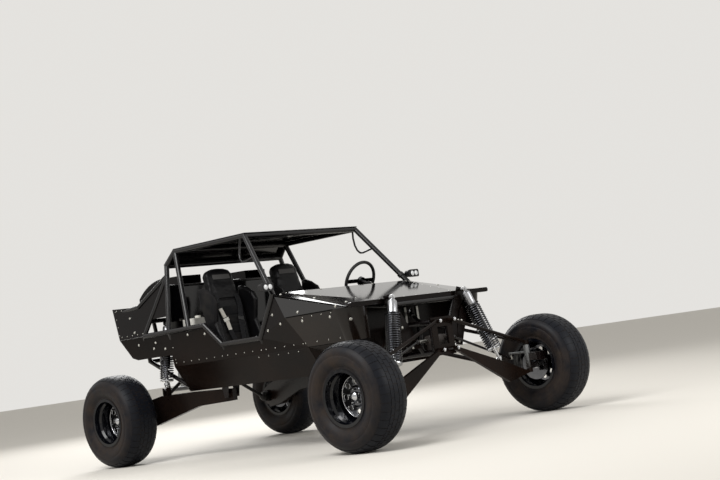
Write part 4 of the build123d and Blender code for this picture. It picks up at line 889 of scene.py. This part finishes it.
def strap(name, path, width, across):
    """A flat strap along a path of points. across is the direction of its width."""
    across = Vector(across).normalized() * width / 2
    piece = begin(name, "plane", size=0.01)
    mesh = piece.data
    mesh.clear_geometry()
    mesh.from_pydata([point + across * end for point in path for end in (-1, 1)], [],
                     [(2 * i, 2 * i + 2, 2 * i + 3, 2 * i + 1) for i in range(len(path) - 1)])
    run = [0.0]
    for first, second in zip(path, path[1:]):
        run.append(run[-1] + (second - first).length)
    layer = mesh.uv_layers.new(name="along")
    for loop in mesh.loops:
        layer.data[loop.index].uv = (loop.vertex_index % 2, run[loop.vertex_index // 2])
    smooth = piece.modifiers.new("smooth", "SUBSURF")
    smooth.levels = smooth.render_levels = 2
    wall = piece.modifiers.new("wall", "SOLIDIFY")
    wall.thickness, wall.offset = STRAP_THICK, 0
    return piece


def on_back(u, v, w):
    """A point of the left seat's back in world coordinates."""
    return BACK_FRAME @ Vector((u, v, w))


def on_seat_back(piece, u, v, w, turn):
    """Lays a small piece, turned, at a point of the left seat's back."""
    piece.data.transform(BACK_FRAME @ Matrix.Translation((u, v, w)) @ turn)
    return piece


SHOULDER_WIDE, LAP_WIDE, PATCH_THICK, SLIDE = 0.048, 0.046, 0.0016, (0.060, 0.030, 0.005)
BELT = [(0.110, 0.640, -0.004), (0.112, 0.622, 0.004), (0.116, 0.590, 0.007), (0.118, 0.520, 0.0085),
        (0.098, 0.450, 0.010), (0.078, 0.400, 0.012), (0.066, 0.300, 0.015), (0.052, 0.220, 0.023),
        (0.030, 0.150, 0.040)]
straps = []
for side in (-1, 1):
    straps.append(strap("shoulder_strap", [on_back(side * u, v, w) for u, v, w in BELT], SHOULDER_WIDE,
                        ACROSS))
    lap = [on_back(side * 0.158, 0.050, 0.020), on_back(side * 0.120, 0.062, 0.055),
           on_back(side * 0.070, 0.090, 0.062), on_back(side * 0.020, 0.125, 0.050)]
    straps.append(strap("lap_strap", lap, LAP_WIDE, (math.cos(LEAN) * 0.3, 0, 1)))
for piece in straps:
    finished(piece, WEBBING, 40)
belts = joined("left_harness", straps)


def adjuster(u):
    """A pressed steel slide that tightens a strap."""
    plate = sized(begin("adjuster", "cube", size=1), SLIDE)
    pick(plate, lambda face: abs(face.normal.z) > 0.9)
    bpy.ops.mesh.inset(thickness=0.006)
    bpy.ops.mesh.extrude_region_shrink_fatten(TRANSFORM_OT_shrink_fatten={"value": -0.0015})
    leave()
    return on_seat_back(plate, u, 0.408, 0.0155, Matrix.Rotation(-u * 3, 4, "Z"))


buckle = turned("buckle", [(0.026, 0), (0.030, 0.003), (0.030, 0.012), (0.027, 0.016), (0.018, 0.018),
                           (0.016, 0.023), (0.013, 0.024)], 32)
on_seat_back(buckle, 0, 0.135, 0.040, Matrix.Rotation(math.pi / 2, 4, "X"))
plates = finished(joined("left_harness_buckles", [adjuster(0.082), buckle]), ZINC_STEEL, 40)
# The inboard adjuster is the same steel slide as the bright one, painted black: a painted shade.
black_plate = finished(joined("left_harness_adjuster", [adjuster(-0.082)]), POWDER_COAT, 40)


def patch(u, v, w, wide, high, turn):
    """A thin blank patch that lies on a strap or on the head."""
    piece = sized(begin("patch", "grid", x_subdivisions=6, y_subdivisions=6, size=1), (wide, high, 1))
    piece.modifiers.new("wall", "SOLIDIFY").thickness = PATCH_THICK
    return on_seat_back(applied(piece), u, v, w, Matrix.Rotation(turn, 4, "Z"))


patches = [patch(0.099, 0.470, 0.0125, 0.040, 0.086, -0.28), patch(0.071, 0.347, 0.0165, 0.040, 0.092, -0.12)]
patches = finished(joined("left_harness_patches", patches), PALE_PATCH, 30)
label = finished(joined("left_seat_blank_label", [patch(0, 0.800, 0.0035, 0.190, 0.042, 0)]), GREY_PATCH, 30)
for piece in (belts, plates, black_plate, patches, label):
    attach_pair(piece)
print("harness of", len(straps), "straps on each seat")

# %% [markdown]
# ## Quarter-turn fasteners and rivets
# The sheets come off for work on the car, so they are held by quarter-turn fasteners: a pale dished head on a
# round washer. Small rivets run along their edges. Each place is given as seen from the side, and a ray shot
# at the sheet finds the depth and the direction of the surface there.

# %% Fasteners
FROM_SIDE, FROM_ABOVE, FORWARD = (0, -1, 0), (0, 0, -1), Vector((1, 0, 0))


def on_sheet(names, start, direction):
    """The first point and normal of the named nodes that a ray meets."""
    start, direction = Vector(start), Vector(direction)
    found = [nodes[name].ray_cast(start, direction) for name in names]
    found = [(spot, normal) for hit, spot, normal, _ in found if hit]
    if not found:
        return None
    spot, normal = min(found, key=lambda one: (one[0] - start).length)
    return spot, -normal if normal.dot(direction) > 0 else normal


def meetings(names, places, direction):
    """Where rays from many places meet the named nodes, without the rays that miss."""
    found = [on_sheet(names, place, direction) for place in places]
    return [hit for hit in found if hit]


def scattered(name, model, hits):
    """Copies of a small model at each hit, its Y axis along the surface normal, as one piece."""
    made = []
    for spot, normal in hits:
        turn = Vector((0, 1, 0)).rotation_difference(normal).to_matrix()
        made.append(copied(model, "part", spot, turn))
    bpy.data.objects.remove(model)
    return joined(name, made)


def row(first, last, pitch):
    """Evenly spaced places from first to last."""
    first, last = Vector(first), Vector(last)
    count = max(1, round((last - first).length / pitch))
    return [first.lerp(last, step / count) for step in range(count + 1)]


SIDE_SHEETS = ("side_panels", "quarter_panels", "cowl_panels", "wing_panels")
HEADS = [(0.735, 1.078), (1.165, 1.072), (0.765, 1.004), (1.075, 1.000), (1.245, 0.959), (0.415, 1.092),
         (0.505, 1.010), (0.325, 0.974), (-0.715, 1.053), (-0.485, 1.036), (-1.435, 1.036), (-1.225, 0.983),
         (-1.475, 1.152), (-1.065, 0.967), (-1.185, 1.032), (-1.555, 1.287)]
ROWS = [((-0.955, 0.830), (-0.320, 0.830), 0.105), ((-0.250, 0.830), (0.180, 0.830), 0.105),
        ((0.240, 0.830), (0.690, 0.830), 0.11), ((-0.955, 1.070), (-0.955, 0.86), 0.09),
        ((0.60, 0.775), (0.12, 0.775), 0.12), ((-1.67, 1.13), (-1.35, 1.13), 0.08),
        ((-1.79, 1.37), (-1.71, 1.15), 0.075), ((-1.77, 1.375), (-1.46, 1.355), 0.078),
        ((0.78, 1.030), (1.10, 1.030), 0.11), ((0.72, 0.83), (1.10, 0.83), 0.12)]
HOOD_HEADS = [(0.52, 0.76), (0.86, 0.72), (1.16, 0.68), (0.50, 0.30)]
TOWER_HEADS = [(0.441, 1.030), (0.329, 0.841), (0.369, 0.837), (0.242, 0.676), (0.307, 0.673)]
spots = [place for (x1, z1), (x2, z2), pitch in ROWS for place in row((x1, 1.2, z1), (x2, 1.2, z2), pitch)]
roof_edge = row((-0.86, 0.668, 3), (0.02, 0.640, 3), 0.125) + row((0.045, 0.60, 3), (0.045, 0.05, 3), 0.137)
roof_edge += row((-0.90, 0.60, 3), (-0.90, 0.05, 3), 0.137)
hood_rows = row((0.52, 0.70, 3), (1.22, 0.44, 3), 0.15) + row((1.262, 0.42, 3), (1.262, 0.0, 3), 0.14)
rivet_hits = meetings(SIDE_SHEETS, spots, FROM_SIDE)
rivet_hits += meetings(["roof_panel"], roof_edge, FROM_ABOVE) + meetings(["hood"], hood_rows, FROM_ABOVE)
hits = meetings(SIDE_SHEETS, [(x, 1.2, z) for x, z in HEADS], FROM_SIDE)
hits += meetings(["hood"], [(x, y, 3) for x, y in HOOD_HEADS], FROM_ABOVE)
tower_x = on_sheet(["nose_brackets"], (2, 0.250, 0.700), (-1, 0, 0))[0].x
hits += [(Vector((tower_x, y, z)), FORWARD) for y, z in TOWER_HEADS]
head = turned("head", [(0.0115, -0.001), (0.0115, 0.0012), (0.0100, 0.0020), (0.0088, 0.0042),
                       (0.0062, 0.0050), (0.0052, 0.0036), (0.0020, 0.0034)], 18)
rivet = turned("rivet", [(0.0052, -0.001), (0.0050, 0.0006), (0.0038, 0.0020), (0.0016, 0.0027)], 10)
fasteners = finished(scattered("left_fasteners", head, hits), ZINC_STEEL, 35)
rivets = finished(scattered("left_rivets", rivet, rivet_hits), ZINC_STEEL, 50)
for piece in (fasteners, rivets):
    attach_pair(piece)
print(len(hits), "fasteners and", len(rivet_hits), "rivets on each side")

# %% [markdown]
# ## Tower sheets
# On each side of the nose a sheet runs on outwards from the tower plate of the shock, and ends just short of
# the spring. It is drawn as an outline seen from the front, and pushed back by the thickness of the plate.

# %% Tower sheets
TOWER_EDGE = [(0.258, 0.650), (0.336, 0.640), (0.386, 0.759), (0.420, 0.819), (0.434, 0.875), (0.410, 0.925),
              (0.404, 0.960), (0.366, 0.924)]
SHEET_THICK = 0.0036
sheet_x = tower_x - 0.0002
sheet = slab("left_tower_sheet", TOWER_EDGE, sheet_x, sheet_x - SHEET_THICK)
sheet.data.transform(frame_of((0, 0, 0), (0, 1, 0), (0, 0, 1)))
attach_pair(finished(sheet, SATIN_SHEET, 30))
print("tower sheets at x =", round(tower_x, 4))

# %% [markdown]
# ## Crease joint and painted shadow
# The upper and the lower sheets of the front sides meet in a level crease. A black rubber bead fills it, and
# follows it to where the lower sheet starts to roll inward. Its black is a joint and also a painted shadow,
# the shade under the edge of the upper sheet, so it barely mirrors.

# %% Crease bead
CREASE_Z, CREASE_Y, BEAD_THICK = 1.0495, 0.8052, 0.0046
BEAD_BACK, BEAD_FRONT = 0.592, 1.134
long = BEAD_FRONT - BEAD_BACK
bead = along("left_crease_bead", [(0.0020, -0.002), (BEAD_THICK, 0.004), (BEAD_THICK, long - 0.006),
                                  (0.0020, long)], 20,
             (BEAD_BACK, CREASE_Y - 0.0012, CREASE_Z), (BEAD_FRONT, CREASE_Y, CREASE_Z))
attach_pair(finished(bead, BLACK_JOINT_AND_SHADOW, 40))
print("crease beads:", round(long, 3), "m long")

# %% [markdown]
# ## Lamps
# Each lamp has two round lenses of clear plastic that bulge a little. The bright bowl behind is not modelled:
# the lens itself is pale and glows faintly. A rim of bare metal holds each lens, and a frame with round
# corners, inset and bridged from a block, stands round both.

# %% Lenses
def lens_glass():
    made, tree = material("clear_polycarbonate_lens")
    place = add(tree, "TexCoord").outputs["Object"]
    cells = add(tree, "TexVoronoi", {"Vector": place, "Scale": 260.0}, feature="SMOOTH_F1")
    bump = add(tree, "Bump", {"Height": cells, "Strength": 0.3, "Distance": 0.001})
    finish_surface(tree, {"Base Color": tone("#f3f5f6"), "Roughness": 0.08, "IOR": 1.58, "Normal": bump,
                          "Transmission Weight": 0.25, "Emission Color": tone("#ffffff"),
                          "Emission Strength": 0.12})
    return made


LENS = lens_glass()
LAMP_FACE_X, LENS_Y, LAMP_Z = 0.4905, (0.8296, 0.8756), 1.312
BEZEL_WIDE, BEZEL_HIGH, BEZEL_DEEP = 0.122, 0.066, 0.012
BEZEL_CORNER, BEZEL_WALL, BEZEL_BACK = 0.014, 0.007, 0.008
glass, rims = [], []
for y in LENS_Y:
    spot = Vector((LAMP_FACE_X, y, LAMP_Z))
    glass.append(along("lens", [(0.0196, -0.001), (0.0196, 0.0010), (0.0165, 0.0034), (0.0100, 0.0052),
                                (0.0025, 0.0060)], 32, spot, spot + FORWARD))
    rims.append(along("rim", [(0.0222, -0.0005), (0.0222, 0.0020), (0.0212, 0.0030), (0.0199, 0.0022),
                              (0.0199, -0.0005)], 32, spot, spot + FORWARD))
bezel = sized(begin("left_lamp_bezel", "cube", size=1), (BEZEL_DEEP, BEZEL_WIDE, BEZEL_HIGH))
pick(bezel, lambda edge: abs((edge.verts[0].co - edge.verts[1].co).x) > 0.001, "edges")
bpy.ops.mesh.bevel(offset=BEZEL_CORNER, segments=4)
leave()
pick(bezel, lambda face: abs(face.normal.x) > 0.9)
bpy.ops.mesh.inset(thickness=BEZEL_WALL)
bpy.ops.mesh.bridge_edge_loops()
leave()
outward(bezel)
bezel.data.transform(Matrix.Translation((LAMP_FACE_X - BEZEL_BACK, sum(LENS_Y) / 2, LAMP_Z)))
attach_pair(finished(joined("left_lamp_lenses", glass), LENS, 40))
attach_pair(finished(joined("left_lamp_rims", rims), POLISHED, 40))
attach_pair(finished(bezel, LAMP_SHELL, 30))

# %% [markdown]
# ## Steering rack and arm pins
# The rack wears a rubber bellows, whose folds are turned rings. The pins of the front arms end in bright bolt
# heads, which catch the light at the nose.

# %% Ribs and bolt heads
RACK_X, RACK_Z, RIB_PITCH, HALF_RIB = 1.395, 0.715, 0.013, 0.004
PIN_END_X, PIN_YS, PIN_ZS = 1.5467, (-0.082, 0.082), (0.628, 0.853)
ribs, heads = [], []
for step in range(-4, 5):
    y = step * RIB_PITCH
    ribs.append(along("rib", [(0.0362, 0), (0.0395, 0.0025), (0.0395, 0.0055), (0.0362, 0.008)], 40,
                      (RACK_X, y - HALF_RIB, RACK_Z), (RACK_X, y + HALF_RIB, RACK_Z)))
for y in PIN_YS:
    for z in PIN_ZS:
        spot = Vector((PIN_END_X, y, z))
        heads.append(along("head", [(0.0155, 0), (0.0155, 0.0015), (0.0125, 0.0016), (0.0125, 0.008),
                                    (0.0100, 0.0105), (0.0050, 0.0120)], 6, spot, spot + FORWARD))
ribs = finished(joined("rack_ribs", ribs), BELLOWS, 35)
heads = finished(joined("arm_bolt_heads", heads), POLISHED, 35)
attach(ribs)
attach(heads)
print("details on the nose:", len(ribs.data.polygons) + len(heads.data.polygons), "faces")

# %% [markdown]
# ## Camera, light and floor
# The camera stands low off the car's right front corner, about 11.5 m from its middle, with a long lens. It
# is rolled, so that the car stands nose up in the picture. The matrix is built from the three angles, column
# by column: right, up, and back towards the viewer.

# %% Camera
AZIMUTH, PITCH, ROLL = math.radians(44.628), math.radians(-4.389), math.radians(-8.283)
CAMERA_PLACE = (8.460, -7.831, 0.762)
FOCAL_PIXELS, IMAGE_PIXELS, SENSOR = 1344.75, 720, 36

back = Vector((math.sin(AZIMUTH) * math.cos(PITCH), -math.cos(AZIMUTH) * math.cos(PITCH), math.sin(PITCH)))
level = Vector((math.cos(AZIMUTH), math.sin(AZIMUTH), 0))
upright = back.cross(level)
right = level * math.cos(ROLL) + upright * math.sin(ROLL)
up = upright * math.cos(ROLL) - level * math.sin(ROLL)
camera_data = bpy.data.cameras.new("camera")
camera_data.sensor_width = SENSOR
camera_data.lens = FOCAL_PIXELS * SENSOR / IMAGE_PIXELS
camera_data.clip_end = 200
camera = bpy.data.objects.new("camera", camera_data)
camera.matrix_world = Matrix.Translation(CAMERA_PLACE) @ Matrix((right, up, back)).transposed().to_4x4()
bpy.context.scene.collection.objects.link(camera)
bpy.context.scene.camera = camera
bpy.context.scene.view_settings.view_transform = "Standard"

# %% [markdown]
# Black paint shows only what it mirrors. Large soft lamps give it long pale highlights, and the pale floor is
# mirrored from below. A plain pale world fills in the rest. It is seen and mirrored brighter than it lights.

# %% Light
CAR_MIDDLE, SKY_LIT, SKY_SEEN = Vector((0, 0, 0.8)), 0.55, 0.86


def soft_lamp(name, place, size, power):
    """A square lamp that faces the middle of the car."""
    light = bpy.data.lights.new(name, "AREA")
    light.size, light.energy = size, power
    lamp = bpy.data.objects.new(name, light)
    lamp.location = place
    lamp.rotation_euler = (CAR_MIDDLE - Vector(place)).to_track_quat("-Z", "Y").to_euler()
    bpy.context.scene.collection.objects.link(lamp)


soft_lamp("key_light", (1.0, -6.0, 7.0), 5.0, 620)
soft_lamp("rim_light", (-6.0, 3.5, 5.0), 4.0, 320)
soft_lamp("front_light", (7.5, 2.0, 3.5), 3.5, 160)

world = bpy.data.worlds.new("studio")
bpy.context.scene.world = world
world.use_nodes = True
tree = world.node_tree
tree.nodes.clear()
rays = add(tree, "LightPath")
seen = add(tree, "Math", {0: rays.outputs["Is Camera Ray"], 1: rays.outputs["Is Glossy Ray"]},
           operation="MAXIMUM")
seen = add(tree, "Math", {0: seen, 1: rays.outputs["Is Transmission Ray"]}, operation="MAXIMUM")
strength = add(tree, "MapRange", {0: seen, 3: SKY_LIT, 4: SKY_SEEN})
sky = add(tree, "Background", {"Color": tone("#f4f2ee"), "Strength": strength})
add(tree, "OutputWorld", {"Surface": sky})

# %% Floor
bpy.ops.object.select_all(action="DESELECT")
bpy.ops.mesh.primitive_circle_add(vertices=96, radius=60, fill_type="NGON", location=(0, 0, 0))
floor = bpy.context.object
floor.name = "floor"
made, tree = material("pale_studio_floor")
finish_surface(tree, {"Base Color": tone("#dcd8d0"), "Roughness": 0.8})
wear(floor, made)
